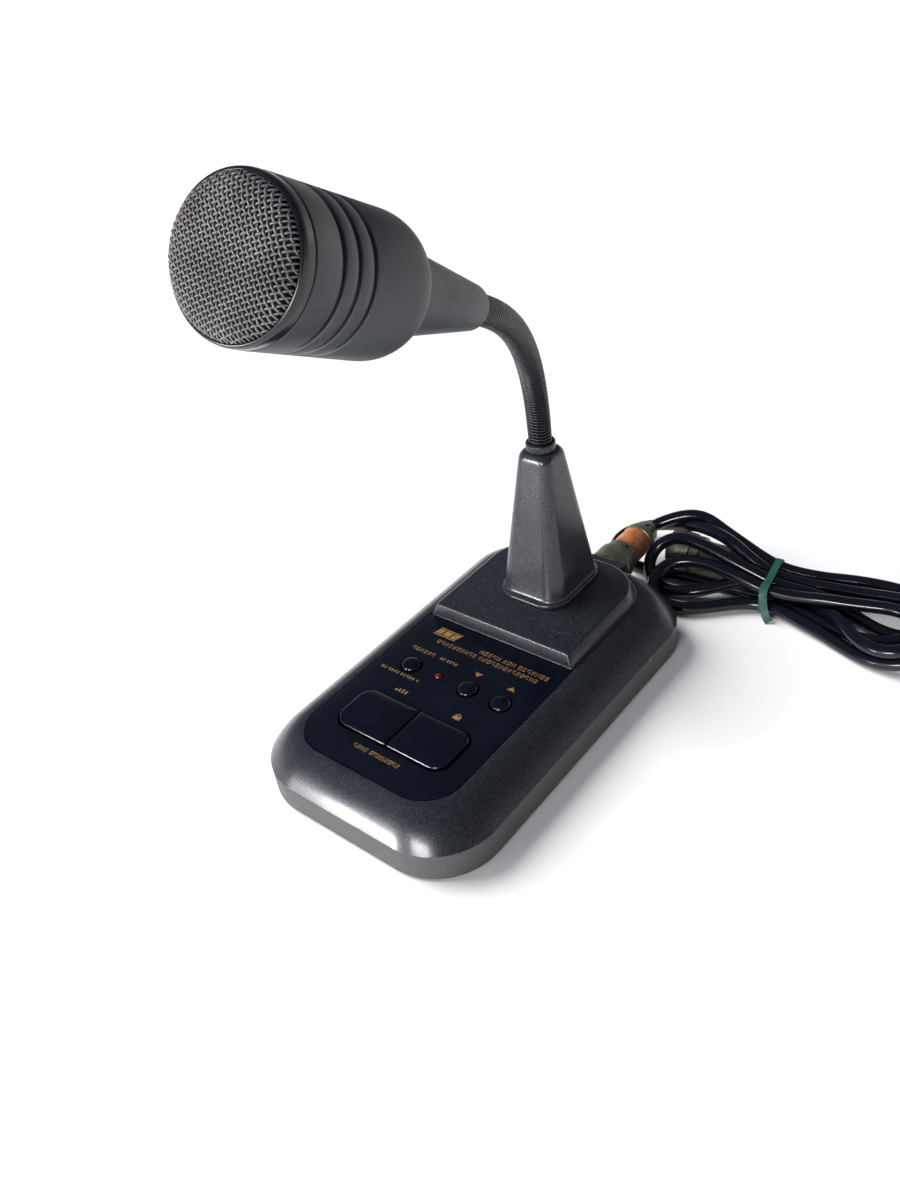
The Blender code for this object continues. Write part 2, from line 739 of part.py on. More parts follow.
def gooseneck():
    """The neck's rigid lengths, each with tapered ends so that it can tilt on the next."""
    bounds = [0, *neck_shares(), 1]
    for k in range(NECK_JOINTS + 1):
        t0, t1 = bounds[k], bounds[k + 1]
        steps = 4 if k in (0, NECK_JOINTS) else 5
        rings = []
        if k == 0:
            rings.append(neck_ring(NECK_FROM, Vector((0, 0, 1)), NECK_R))
        for i in range(steps + 1):
            point, along = neck_point(t0 + (t1 - t0) * i / steps)
            if i == 0 and k > 0:
                rings.append(neck_ring(point + along * TAPER_GAP, along, NECK_R * TAPER))
                rings.append(neck_ring(point + along * TAPER_L, along, NECK_R))
            elif i == steps and k < NECK_JOINTS:
                rings.append(neck_ring(point - along * TAPER_L, along, NECK_R))
                rings.append(neck_ring(point - along * TAPER_GAP, along, NECK_R * TAPER))
            else:
                rings.append(neck_ring(point, along, NECK_R))
        if k == NECK_JOINTS:
            rings.append(neck_ring(NECK_END + HEAD_DIR * 9 * MM, HEAD_DIR, NECK_R))
        finish(f"gooseneck_{k + 1}", loft(rings), NECK_STEEL)


def head():
    """The head's pieces, turned about an axis that starts where the neck ends."""
    axis = bpy.data.objects.new("head_axis", None)
    bpy.context.collection.objects.link(axis)
    axis.location = NECK_END
    axis.rotation_euler = HEAD_DIR.to_track_quat("Z", "Y").to_euler()

    cone = turned([
        (0, NECK_BORE),
        (0, 6.3 * MM),
        (1.2 * MM, 7.1 * MM),
        (CONE_L - GAP, CONE_R),
        (CONE_L - GAP, CONE_R - 2.2 * MM),
        (12 * MM, 6.2 * MM),
        (10 * MM, NECK_BORE),
    ], 32)
    finish("head_rear_cone", cone, HEAD_PLASTIC, axis)

    outer = [(CONE_L, CONE_R - 2.2 * MM), (CONE_L, CONE_R + 0.6 * MM)]
    bulge = HEAD_R - CONE_R - 0.6 * MM
    for i in range(1, 7):
        angle = math.radians(15 * i)
        along = CONE_L + SHOULDER_L * (1 - math.cos(angle))
        outer.append((along, CONE_R + 0.6 * MM + bulge * math.sin(angle)))
    for place in GROOVES:
        low, high = place - GROOVE_W / 2, place + GROOVE_W / 2
        floor = HEAD_R - GROOVE_D
        outer += [(low, HEAD_R), (low + 0.25 * MM, floor), (high - 0.25 * MM, floor), (high, HEAD_R)]
    inner = [
        (BARREL_END, HEAD_R),
        (BARREL_END, HEAD_R - 3 * MM),
        (CONE_L + SHOULDER_L, HEAD_R - 3 * MM),
        (CONE_L + 3.2 * MM, CONE_R - 2.2 * MM),
    ]
    finish("head_barrel", turned(outer + inner, 36), HEAD_PLASTIC, axis)

    bore = GRILLE_R + GAP
    ring = turned([
        (BARREL_END + GAP, bore),
        (BARREL_END + GAP, HEAD_R - 0.1 * MM),
        (HEAD_L - 1.6 * MM, HEAD_R - 0.1 * MM),
        (HEAD_L - 0.7 * MM, HEAD_R - 0.5 * MM),
        (HEAD_L - 0.5 * MM, HEAD_R - 0.9 * MM),
        (HEAD_L - 0.5 * MM, bore),
    ], 36)
    finish("head_front_ring", ring, GLOSS_BLACK, axis)

    skin = 0.9 * MM

    def dome(radius, rise):
        """A full, flat-topped crown: points from its rim to its middle."""
        curve = []
        for share in (0.99, 0.97, 0.92, 0.82, 0.66, 0.4):
            curve.append((GRILLE_FROM + rise * (1 - share ** 5) ** 0.42, radius * share))
        return curve + [(GRILLE_FROM + rise, 0)]

    outside = dome(GRILLE_R, GRILLE_RISE)
    inside = dome(GRILLE_R - skin, GRILLE_RISE - skin)
    back = BARREL_END + 1 * MM
    skirt = [(back, GRILLE_R - skin), (back, GRILLE_R), (GRILLE_FROM, GRILLE_R)]
    profile = list(reversed(inside)) + skirt + outside
    finish("head_grille", turned(profile, 36), MESH_METAL, axis)

    foam = turned([
        (BARREL_END - 2 * MM, 0),
        (BARREL_END - 2 * MM, 15.2 * MM),
        (HEAD_L - 1.2 * MM, 15.2 * MM),
        (HEAD_L + 1.4 * MM, 9 * MM),
        (HEAD_L + 2.2 * MM, 0),
    ], 24)
    finish("foam_liner", foam, BLACK_RUBBER, axis)
    capsule = turned([
        (BARREL_END - 12 * MM, 0),
        (BARREL_END - 12 * MM, 4.85 * MM),
        (BARREL_END - 5.3 * MM, 4.85 * MM),
        (BARREL_END - 5.3 * MM, 0),
    ], 20)
    finish("mic_capsule", capsule, STEEL, axis)
    inner, outer = 4.85 * MM + GAP, HEAD_R - 3 * MM - GAP
    holder = tube(inner, outer, BARREL_END - 10 * MM, BARREL_END - 5 * MM, 28)
    finish("capsule_holder", holder, BLACK_RUBBER, axis)


# Socket, plug and cord.


def socket_and_plug():
    at = Vector((PLUG_X, 0, PLUG_Z))
    socket = turned([
        (80 * MM, 6.6 * MM),
        (80 * MM, SOCKET_R),
        (83 * MM, SOCKET_R),
        (83 * MM, SOCKET_FLANGE_R),
        (85.2 * MM, SOCKET_FLANGE_R),
        (85.2 * MM, SOCKET_R),
        (100 * MM, SOCKET_R),
        (100 * MM, 6.6 * MM),
    ], 28, "Y")
    finish("chassis_socket", socket, NICKEL, location=at)
    insert = finish("socket_insert", disc(6.3 * MM, 81 * MM, 89 * MM, 28, "Y"), SWITCH_GREY, location=at)
    for i in range(7):
        angle = 2 * math.pi * i / 7
        offset = Vector((4 * MM * math.cos(angle), 0, 4 * MM * math.sin(angle)))
        pin = disc(0.6 * MM, 78 * MM, 95 * MM, 8, "Y")
        boolean(insert, finish("socket_pin", pin, NICKEL, location=at + offset), "UNION")
    # A ring of six sides: its flats stand in from its corners, so both radii are the corners'.
    corner = 1 / math.cos(math.radians(30))
    seat = REAR_Y + SOCKET_LAND + GAP
    nut = tube((SOCKET_R + GAP) * corner, 9.2 * MM * corner, seat, REAR_Y + 2.2 * MM, 6, "Y")
    finish("socket_nut", nut, NICKEL, location=at)

    ring = tube(7.8 * MM + GAP, 10 * MM, 94.1 * MM, 105.5 * MM, 32, "Y")
    finish("plug_ring", ring, NICKEL, location=at)
    shell = turned([
        (100 * MM + GAP, 5.2 * MM),
        (100 * MM + GAP, 7.6 * MM),
        (105.5 * MM + GAP, 7.6 * MM),
        (105.5 * MM + GAP, 8.7 * MM),
        (110.3 * MM, 8.7 * MM),
        (110.7 * MM, 7.1 * MM),
        (124.6 * MM, 7.1 * MM),
        (124.6 * MM, 7.7 * MM),
        (128.5 * MM, 7.7 * MM),
        (128.5 * MM, 3.4 * MM),
        (122 * MM, 3.4 * MM),
        (120 * MM, 5.2 * MM),
    ], 28, "Y")
    finish("plug_shell", shell, NICKEL, location=at)
    band = tube(7.1 * MM + GAP, 7.9 * MM, 111 * MM, 124.3 * MM, 28, "Y")
    finish("plug_band", band, BAND_ORANGE, location=at)
    clamp = finish("plug_clamp", box(
        PLUG_X - 5.6 * MM,
        PLUG_X + 5.6 * MM,
        128.5 * MM + GAP,
        PLUG_EXIT_Y,
        PLUG_Z - 4.6 * MM,
        PLUG_Z + 4.6 * MM,
        rounding=1.2 * MM,
    ), NICKEL)
    bore = disc(CORD_R + 0.35 * MM, 110 * MM, 150 * MM, 20, "Y")
    boolean(clamp, finish("cord_bore", bore, NICKEL, location=at), "DIFFERENCE")
    screw = turned([(0, 0), (0, 1.5 * MM), (0.6 * MM, 1.5 * MM), (1 * MM, 1 * MM), (1 * MM, 0)], 14)
    finish("clamp_screw", screw, NICKEL, location=(PLUG_X, 133.2 * MM, PLUG_Z + 4.6 * MM + GAP))


def smooth_route(points, spacing):
    """Points along one smooth curve through a hand-laid route."""
    knots = [Vector(p) * MM for p in points]
    knots = [2 * knots[0] - knots[1]] + knots + [2 * knots[-1] - knots[-2]]
    fine = []
    for a, b, c, d in zip(knots, knots[1:], knots[2:], knots[3:]):
        for i in range(20):
            t = i / 20
            bend = (2 * a - 5 * b + 4 * c - d) * t * t + (3 * b - a - 3 * c + d) * t**3
            fine.append(b + ((c - a) * t + bend) / 2)
    fine.append(knots[-2])
    kept = [fine[0]]
    for p in fine[1:-1]:
        if (p - kept[-1]).length >= spacing:
            kept.append(p)
    if (fine[-1] - kept[-1]).length < spacing / 2:
        kept.pop()
    return kept + [fine[-1]]


def cord():
    route = smooth_route(LEAD_ROUTE, 5 * MM)
    data = bpy.data.curves.new("cord_lead", "CURVE")
    data.dimensions = "3D"
    data.bevel_depth = CORD_R
    data.bevel_resolution = 3
    data.use_fill_caps = True
    line = data.splines.new("POLY")
    line.points.add(len(route) - 1)
    for point, place in zip(line.points, route):
        point.co = (*place, 1)
    data.materials.append(material("cord_lead", *GLOSS_BLACK))
    lead = bpy.data.objects.new("cord_lead", data)
    bpy.context.collection.objects.link(lead)

    low, high = HANK_Z
    edge = [Vector((x * MM, y * MM, 0)) for x, y in HANK_OUTLINE]

    def ring(z, inset):
        found = []
        for i, p in enumerate(edge):
            along = (edge[(i + 1) % len(edge)] - edge[i - 1]).normalized()
            inward = Vector((-along.y, along.x, 0))
            found.append(Vector((p.x, p.y, z)) + inward * inset)
        return found

    levels = ((low, 2 * MM), (low + 2 * MM, 0), (high - 2.5 * MM, 0), (high, 2.5 * MM))
    hank = finish("cord_hank", loft([ring(z, inset) for z, inset in levels]), GLOSS_BLACK)
    pocket = loft([
        outline(60 * MM, 122 * MM, 160 * MM, 5 * MM, 5 * MM, z, 3, x=31.5 * MM)
        for z in (-2 * MM, 20 * MM)
    ])
    boolean(hank, finish("plug_pocket", pocket, GLOSS_BLACK), "DIFFERENCE")

    waist = [p.y for p in edge if abs(p.x - TIE_X) < TIE_W]
    x0, x1 = TIE_X - TIE_W / 2, TIE_X + TIE_W / 2
    y0, y1 = min(waist) - GAP, max(waist) + GAP
    z0, z1 = low - GAP, high + GAP
    band = box(x0, x1, y0 - TIE_T, y1 + TIE_T, z0 - TIE_T, z1 + TIE_T, rounding=0.4 * MM)
    strap = finish("cord_tie", band, TIE_GREEN)
    inside = box(x0 - TIE_W, x1 + TIE_W, y0, y1, z0, z1)
    boolean(strap, finish("tie_inside", inside, GLOSS_BLACK), "DIFFERENCE")

    sleeve = tube(7.8 * MM + GAP, 10 * MM, 0, 11.4 * MM, 32, "X")
    finish("far_plug_ring", sleeve, NICKEL, location=FAR_PLUG)
    shell = turned([
        (1.2 * MM, 0),
        (1.2 * MM, 6.3 * MM),
        (6.5 * MM, 6.3 * MM),
        (6.5 * MM, 7.6 * MM),
        (11.7 * MM, 7.6 * MM),
        (11.7 * MM, 8.7 * MM),
        (16.3 * MM, 8.7 * MM),
        (16.7 * MM, 7.4 * MM),
        (31 * MM, 7.4 * MM),
        (32 * MM, 5.2 * MM),
        (38 * MM, 5.2 * MM),
        (38 * MM, 0),
    ], 28, "X")
    finish("far_plug_shell", shell, NICKEL, location=FAR_PLUG)


top_cover()
control_panel()
rear_platform()
neck_tower()
bottom()
controls()
gooseneck()
head()
socket_and_plug()
cord()
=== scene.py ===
"""Looks of a desk microphone on a gooseneck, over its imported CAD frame. Metres, +Z up."""

import math

import bmesh
import bpy
import numpy as np
from mathutils import Matrix, Vector


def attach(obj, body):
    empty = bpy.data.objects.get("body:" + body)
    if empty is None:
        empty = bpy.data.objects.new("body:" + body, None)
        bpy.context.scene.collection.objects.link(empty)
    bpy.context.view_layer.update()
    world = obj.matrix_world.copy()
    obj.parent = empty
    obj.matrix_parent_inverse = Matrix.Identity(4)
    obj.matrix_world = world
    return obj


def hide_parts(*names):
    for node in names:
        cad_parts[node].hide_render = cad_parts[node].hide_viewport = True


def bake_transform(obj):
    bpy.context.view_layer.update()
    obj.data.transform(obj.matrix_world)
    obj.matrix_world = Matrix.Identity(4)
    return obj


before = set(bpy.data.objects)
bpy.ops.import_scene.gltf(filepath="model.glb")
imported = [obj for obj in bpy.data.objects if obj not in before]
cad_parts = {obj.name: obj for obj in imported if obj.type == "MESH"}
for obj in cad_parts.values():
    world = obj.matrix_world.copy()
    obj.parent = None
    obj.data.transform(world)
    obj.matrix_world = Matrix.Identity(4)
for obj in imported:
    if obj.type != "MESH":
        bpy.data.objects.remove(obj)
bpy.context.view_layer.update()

MM = 0.001
GAP = 0.3 * MM

# The same driving sizes as the CAD.
BASE_W, BASE_L = 110 * MM, 183 * MM
BASE_R_FRONT, BASE_R_REAR = 28 * MM, 24 * MM
RIM_Z, CREASE_Z, DECK_Z = 1.0 * MM, 14 * MM, 26.4 * MM
DECK_W, DECK_FRONT, DECK_REAR = 77.8 * MM, -77.8 * MM, 83.6 * MM
DECK_R_FRONT, DECK_R_REAR = 17 * MM, 22 * MM
SHOULDER_POWER = 2.0
WALL, LEDGE, PANEL_T = 2.5 * MM, 4.0 * MM, 1.2 * MM
LEDGE_Z = DECK_Z - PANEL_T - GAP
PLATFORM_Y, PLATFORM_H, PLATFORM_TOP_W = 14.7 * MM, 6.1 * MM, 70.4 * MM
TOWER_Y, TOWER_TOP_Z, TOWER_TOP = 56 * MM, 100.9 * MM, 15.5 * MM
NECK_R = 5.0 * MM
NECK_START = Vector((0, 56, 103)) * MM
NECK_END = Vector((32.4, -18.4, 194.5)) * MM
HEAD_DIR = Vector((0.1426, -0.8803, 0.4524)).normalized()
NECK_RISE, NECK_RUN = 50 * MM, 27 * MM
BUTTON_Y = -17.9 * MM
POWER_X, LED_X, DOWN_X, UP_X = -22.6 * MM, -7.8 * MM, 8.0 * MM, 25.0 * MM
WELL_R = 4.75 * MM
KEY_W, KEY_FRONT, KEY_REAR, KEY_SPLIT = 28.1 * MM, -61.2 * MM, -38.6 * MM, 0.35 * MM
REAR_Y = BASE_L / 2
PLUG_X, PLUG_Z = 5 * MM, 15 * MM
CORD_R = 3.0 * MM
FAR_PLUG = Vector((20, 135, 10.4)) * MM

scene = bpy.context.scene


# Camera.

YAW, PITCH, ROLL = 0.7605, 0.6395, -0.1474
CAMERA_AT = Vector((225.30, -248.81, 309.37)) * MM
SENSOR = 36
LENS = 1020.11 / 1200 * SENSOR


def make_camera():
    forward = Vector((
        -math.sin(YAW) * math.cos(PITCH),
        math.cos(YAW) * math.cos(PITCH),
        -math.sin(PITCH),
    ))
    level = Vector((math.cos(YAW), math.sin(YAW), 0))
    upright = level.cross(forward)
    right = level * math.cos(ROLL) + upright * math.sin(ROLL)
    up = upright * math.cos(ROLL) - level * math.sin(ROLL)
    data = bpy.data.cameras.new("camera")
    data.sensor_width = SENSOR
    data.lens = LENS
    data.clip_start, data.clip_end = 0.01, 50
    made = bpy.data.objects.new("camera", data)
    scene.collection.objects.link(made)
    turn = Matrix((right, up, -forward)).transposed().to_4x4()
    made.matrix_world = Matrix.Translation(CAMERA_AT) @ turn
    scene.camera = made


make_camera()


# Materials.


class Finish:
    """A node-built Principled material, in the piece's own coordinates."""

    def __init__(self, name, roughness, metallic=0.0, **sockets):
        self.material = bpy.data.materials.new(name)
        self.material.use_nodes = True
        self.tree = self.material.node_tree
        self.shader = self.tree.nodes["Principled BSDF"]
        self.set("Roughness", roughness)
        self.set("Metallic", metallic)
        for socket, value in sockets.items():
            self.set(socket.replace("_", " "), value)
        self.place = self.add("ShaderNodeTexCoord").outputs["Object"]

    def add(self, kind, **settings):
        node = self.tree.nodes.new(kind)
        for key, value in settings.items():
            setattr(node, key, value)
        return node

    def feed(self, socket, value):
        if isinstance(value, bpy.types.NodeSocket):
            self.tree.links.new(value, socket)
        elif isinstance(value, tuple) and len(value) == 3 and socket.type == "RGBA":
            socket.default_value = (*value, 1)
        else:
            socket.default_value = value

    def set(self, name, value):
        self.feed(self.shader.inputs[name], value)

    def noise(self, scale, detail=2.0, rough=0.5):
        node = self.add("ShaderNodeTexNoise")
        node.inputs["Scale"].default_value = scale
        node.inputs["Detail"].default_value = detail
        node.inputs["Roughness"].default_value = rough
        self.feed(node.inputs["Vector"], self.place)
        return node.outputs["Fac"]

    def cells(self, scale):
        node = self.add("ShaderNodeTexVoronoi")
        node.inputs["Scale"].default_value = scale
        self.feed(node.inputs["Vector"], self.place)
        return node.outputs["Distance"]

    def span(self, value, low, high, to_low=0.0, to_high=1.0):
        node = self.add("ShaderNodeMapRange")
        node.inputs["From Min"].default_value = low
        node.inputs["From Max"].default_value = high
        node.inputs["To Min"].default_value = to_low
        node.inputs["To Max"].default_value = to_high
        self.feed(node.inputs["Value"], value)
        return node.outputs["Result"]

    def calc(self, operation, a, b=0.5):
        node = self.add("ShaderNodeMath", operation=operation)
        self.feed(node.inputs[0], a)
        self.feed(node.inputs[1], b)
        return node.outputs[0]

    def mix(self, share, a, b):
        node = self.add("ShaderNodeMix", data_type="RGBA")
        self.feed(node.inputs[0], share)
        self.feed(node.inputs[6], a)
        self.feed(node.inputs[7], b)
        return node.outputs[2]

    def near(self, point, radius, ragged):
        """1 close to a point and 0 away from it, with a ragged edge."""
        node = self.add("ShaderNodeVectorMath", operation="DISTANCE")
        self.feed(node.inputs[0], self.place)
        node.inputs[1].default_value = point
        edge = self.span(self.noise(1400, 3), 0.3, 0.7, -ragged, ragged)
        away = self.calc("ADD", node.outputs["Value"], edge)
        return self.span(away, radius * 0.85, radius, 1.0, 0.0)

    def bump(self, height, strength, distance):
        node = self.add("ShaderNodeBump")
        node.inputs["Strength"].default_value = strength
        node.inputs["Distance"].default_value = distance
        self.feed(node.inputs["Height"], height)
        self.set("Normal", node.outputs["Normal"])

    def dust(self, colour, scale, size, tint, keep):
        """Sparse pale specks over a colour."""
        speck = self.span(self.cells(scale), size * 0.6, size, 1.0, 0.0)
        chosen = self.span(self.noise(scale * 0.37, 0), keep, keep + 0.01)
        return self.mix(self.calc("MULTIPLY", speck, chosen), colour, tint)


def paint():
    """Dark satin enamel with a fine flake. The upright sides under the crease are flatter, and their paler
    colour is painted light on the same enamel.
    """
    f = Finish("charcoal_enamel", 0.3, 0.3, Coat_Weight=0.35, Coat_Roughness=0.16)
    flake = f.span(f.noise(3400, 1.0), 0.54, 0.70)
    cloud = f.span(f.noise(35, 3), 0.3, 0.7)
    base = f.mix(cloud, (0.0085, 0.0105, 0.0155), (0.0115, 0.0140, 0.0195))
    glossy = f.mix(flake, base, (0.085, 0.089, 0.098))
    # Painted light: a paler copy of the enamel colour for the upright sides. It stands in for the light
    # they catch from the floor.
    pale_wall_painted_light = f.mix(f.span(f.noise(1800, 2), 0.35, 0.7), (0.062, 0.062, 0.064), (0.098, 0.098, 0.101))
    split = f.add("ShaderNodeSeparateXYZ")
    f.feed(split.inputs[0], f.place)
    # Mask, 1 below the crease: there go the paler painted-light colour, the flatter finish and no coat.
    low = f.span(split.outputs["Z"], CREASE_Z - 0.25 * MM, CREASE_Z - 0.05 * MM, 1.0, 0.0)
    colour = f.mix(low, glossy, pale_wall_painted_light)
    chips = [
        ((0.0085, 0.0425, 0.0795), 0.0017),
        ((0.0545, 0.050, 0.0125), 0.0011),
        ((0.054, 0.030, 0.018), 0.0009),
    ]
    for point, radius in chips:
        colour = f.mix(f.near(point, radius, 0.0008), colour, (0.16, 0.16, 0.155))
    f.set("Base Color", f.dust(colour, 300, 0.04, (0.16, 0.155, 0.15), 0.74))
    sheen = f.span(f.noise(60, 4), 0.25, 0.75, 0.25, 0.36)
    f.set("Roughness", f.calc("ADD", sheen, f.calc("MULTIPLY", low, 0.26)))
    f.set("Coat Weight", f.calc("MULTIPLY", f.calc("SUBTRACT", 1.0, low), 0.35))
    f.bump(f.noise(2200, 2), 0.10, 0.0001)
    return f.material


def panel_plastic():
    f = Finish("panel_plastic", 0.25)
    base = f.mix(f.span(f.noise(50, 3), 0.35, 0.65), (0.0008, 0.0018, 0.0052), (0.0016, 0.0030, 0.0075))
    f.set("Base Color", f.dust(base, 420, 0.06, (0.09, 0.09, 0.09), 0.68))
    smear = f.noise(40, 3)
    f.set("Roughness", f.span(smear, 0.3, 0.75, 0.2, 0.26))
    f.bump(f.noise(900, 2), 0.06, 0.0001)
    return f.material


def key_plastic():
    f = Finish("key_plastic", 0.15, Specular_IOR_Level=0.5)
    base = f.mix(f.span(f.noise(90, 3), 0.35, 0.65), (0.0006, 0.0014, 0.0048), (0.0014, 0.0024, 0.0068))
    f.set("Base Color", f.dust(base, 520, 0.05, (0.11, 0.11, 0.11), 0.72))
    scuff = f.noise(70, 3)
    f.set("Roughness", f.span(scuff, 0.3, 0.8, 0.12, 0.2))
    f.bump(f.noise(140, 2), 0.05, 0.0003)
    return f.material


def head_plastic():
    f = Finish("head_plastic", 0.5)
    base = f.mix(f.span(f.noise(30, 3), 0.3, 0.7), (0.019, 0.022, 0.027), (0.025, 0.029, 0.035))
    f.set("Base Color", base)
    f.set("Roughness", f.span(f.noise(80, 4), 0.25, 0.75, 0.44, 0.56))
    grain = f.noise(1900, 3, 0.6)
    f.bump(grain, 0.22, 0.00012)
    return f.material


def rim_gloss():
    f = Finish("rim_gloss", 0.2)
    f.set("Base Color", f.mix(f.noise(60, 3), (0.0035, 0.0045, 0.0075), (0.006, 0.007, 0.011)))
    f.set("Roughness", f.span(f.noise(150, 4), 0.3, 0.7, 0.16, 0.3))
    return f.material


def neck_metal():
    f = Finish("neck_metal", 0.25, 0.3)
    cloud = f.span(f.noise(60, 2), 0.35, 0.7)
    f.set("Base Color", f.mix(cloud, (0.0045, 0.0050, 0.0085), (0.0065, 0.0070, 0.0105)))
    f.set("Roughness", f.span(f.noise(90, 2), 0.3, 0.7, 0.24, 0.30))
    return f.material


def mesh_metal():
    f = Finish("grille_wire", 0.5, 0.35)
    base = f.mix(f.span(f.noise(110, 3), 0.35, 0.65), (0.125, 0.115, 0.122), (0.185, 0.172, 0.180))
    f.set("Base Color", base)
    f.set("Roughness", f.span(f.noise(400, 3), 0.3, 0.7, 0.42, 0.58))
    return f.material


def nickel():
    f = Finish("aged_nickel", 0.4, 0.8)
    stain = f.span(f.noise(160, 5, 0.65), 0.35, 0.68)
    base = f.mix(stain, (0.30, 0.285, 0.215), (0.155, 0.150, 0.110))
    pits = f.span(f.cells(700), 0.08, 0.16, 1.0, 0.0)
    chosen = f.span(f.noise(180, 2), 0.55, 0.62)
    f.set("Base Color", f.mix(f.calc("MULTIPLY", pits, chosen), base, (0.04, 0.038, 0.028)))
    f.set("Roughness", f.span(stain, 0.0, 1.0, 0.33, 0.52))
    f.bump(f.noise(900, 3), 0.12, 0.00008)
    return f.material


def orange_sleeve():
    f = Finish("orange_sleeve", 0.42)
    wear = f.span(f.noise(220, 4, 0.6), 0.4, 0.7)
    f.set("Base Color", f.mix(wear, (0.36, 0.085, 0.028), (0.46, 0.20, 0.09)))
    f.set("Roughness", f.span(f.noise(300, 3), 0.3, 0.7, 0.34, 0.5))
    f.bump(f.noise(500, 3), 0.15, 0.0001)
    return f.material


def cord_jacket():
    f = Finish("cord_jacket", 0.2)
    f.set("Base Color", f.mix(f.noise(70, 3), (0.0016, 0.0022, 0.0050), (0.0034, 0.0042, 0.0084)))
    f.set("Roughness", f.span(f.noise(240, 4, 0.6), 0.3, 0.75, 0.13, 0.24))
    f.bump(f.noise(160, 3), 0.06, 0.0004)
    return f.material


def tie_strap():
    f = Finish("tie_strap", 0.5)
    f.set("Base Color", f.mix(f.noise(400, 3), (0.010, 0.050, 0.041), (0.016, 0.078, 0.064)))
    ridge = f.add("ShaderNodeTexWave", bands_direction="Y")
    ridge.inputs["Scale"].default_value = 500
    f.feed(ridge.inputs["Vector"], f.place)
    f.bump(ridge.outputs["Fac"], 0.25, 0.0001)
    return f.material


def gold_ink():
    f = Finish("gold_ink", 0.45, 0.35)
    worn = f.span(f.noise(600, 2), 0.42, 0.62)
    f.set("Base Color", f.mix(worn, (0.24, 0.135, 0.045), (0.38, 0.23, 0.085)))
    return f.material


def lamp_red():
    f = Finish("lamp_red", 0.08, Coat_Weight=0.6)
    f.set("Base Color", f.mix(f.noise(900, 2), (0.10, 0.003, 0.006), (0.22, 0.006, 0.012)))
    f.set("Roughness", f.span(f.noise(1200, 2), 0.3, 0.7, 0.06, 0.14))
    return f.material


def plain(name, dark, light, roughness, metallic=0.0, scale=120, bump=0.1):
    """A simple finish for parts that show little or not at all."""
    f = Finish(name, roughness, metallic)
    f.set("Base Color", f.mix(f.span(f.noise(scale, 4), 0.3, 0.7), dark, light))
    f.set("Roughness", f.span(f.noise(scale * 3, 3), 0.3, 0.7, roughness - 0.06, roughness + 0.06))
    f.bump(f.noise(scale * 8, 2), bump, 0.0001)
    return f.material


PAINT = paint()
PANEL = panel_plastic()
KEY = key_plastic()
HEAD = head_plastic()
RIM = rim_gloss()
NECK = neck_metal()
WIRE = mesh_metal()
NICKEL = nickel()
ORANGE = orange_sleeve()
CORD = cord_jacket()
TIE = tie_strap()
GOLD = gold_ink()
LAMP = lamp_red()
COLLAR = plain("collar_metal", (0.030, 0.031, 0.036), (0.045, 0.046, 0.052), 0.28, 0.6, 90, 0.05)
STEEL = plain("zinc_steel", (0.38, 0.38, 0.39), (0.52, 0.52, 0.52), 0.34, 0.9, 90)
RUBBER = plain("black_rubber", (0.012, 0.012, 0.012), (0.022, 0.022, 0.022), 0.72, 0.0, 300, 0.2)
MOULDED = plain("moulded_grey", (0.028, 0.028, 0.030), (0.040, 0.040, 0.042), 0.5, 0.0, 200, 0.15)
IRON = plain("cast_iron", (0.05, 0.05, 0.05), (0.09, 0.088, 0.085), 0.65, 0.5, 160, 0.5)
LAMINATE = plain("green_laminate", (0.02, 0.09, 0.035), (0.03, 0.13, 0.05), 0.4, 0.0, 260, 0.1)
CELL = plain("cell_jacket", (0.30, 0.22, 0.05), (0.38, 0.29, 0.08), 0.35, 0.4, 150, 0.05)
FOAM = plain("open_foam", (0.016, 0.015, 0.017), (0.034, 0.032, 0.036), 0.9, 0.0, 1200, 0.8)

CAD_FINISHES = {
    "bottom_plate": STEEL,
    "bottom_screw_": STEEL,
    "key_pin": STEEL,
    "ptt_spring": STEEL,
    "lock_spring": STEEL,
    "mic_capsule": STEEL,
    "rubber_foot_": RUBBER,
    "capsule_holder": RUBBER,
    "foam_liner": FOAM,
    "ballast_weight": IRON,
    "circuit_board": LAMINATE,
    "battery_1": CELL,
    "battery_2": CELL,
    "battery_box": MOULDED,
    "battery_cover": MOULDED,
    "socket_insert": MOULDED,
    "ptt_switch": MOULDED,
    "lock_switch": MOULDED,
    "power_switch": MOULDED,
    "down_switch": MOULDED,
    "up_switch": MOULDED,
    "chassis_socket": NICKEL,
    "socket_nut": NICKEL,
}
for name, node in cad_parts.items():
    for start, look in CAD_FINISHES.items():
        if name.startswith(start):
            node.data.materials.clear()
            node.data.materials.append(look)


# Shape helpers.


def piece(name, bm, look, body, stands_for=(), at=None, sharp=35):
    """A finished mesh piece that rides on a body."""
    bmesh.ops.remove_doubles(bm, verts=bm.verts, dist=1e-7)
    bmesh.ops.recalc_face_normals(bm, faces=bm.faces)
    mesh = bpy.data.meshes.new(name)
    bm.to_mesh(mesh)
    bm.free()
    if at is not None:
        mesh.transform(at)
    mesh.shade_smooth()
    mesh.set_sharp_from_angle(angle=math.radians(sharp))
    mesh.materials.append(look)
    made = bpy.data.objects.new(name, mesh)
    scene.collection.objects.link(made)
    if body:
        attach(made, body)
    if stands_for:
        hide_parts(*stands_for)
    return made


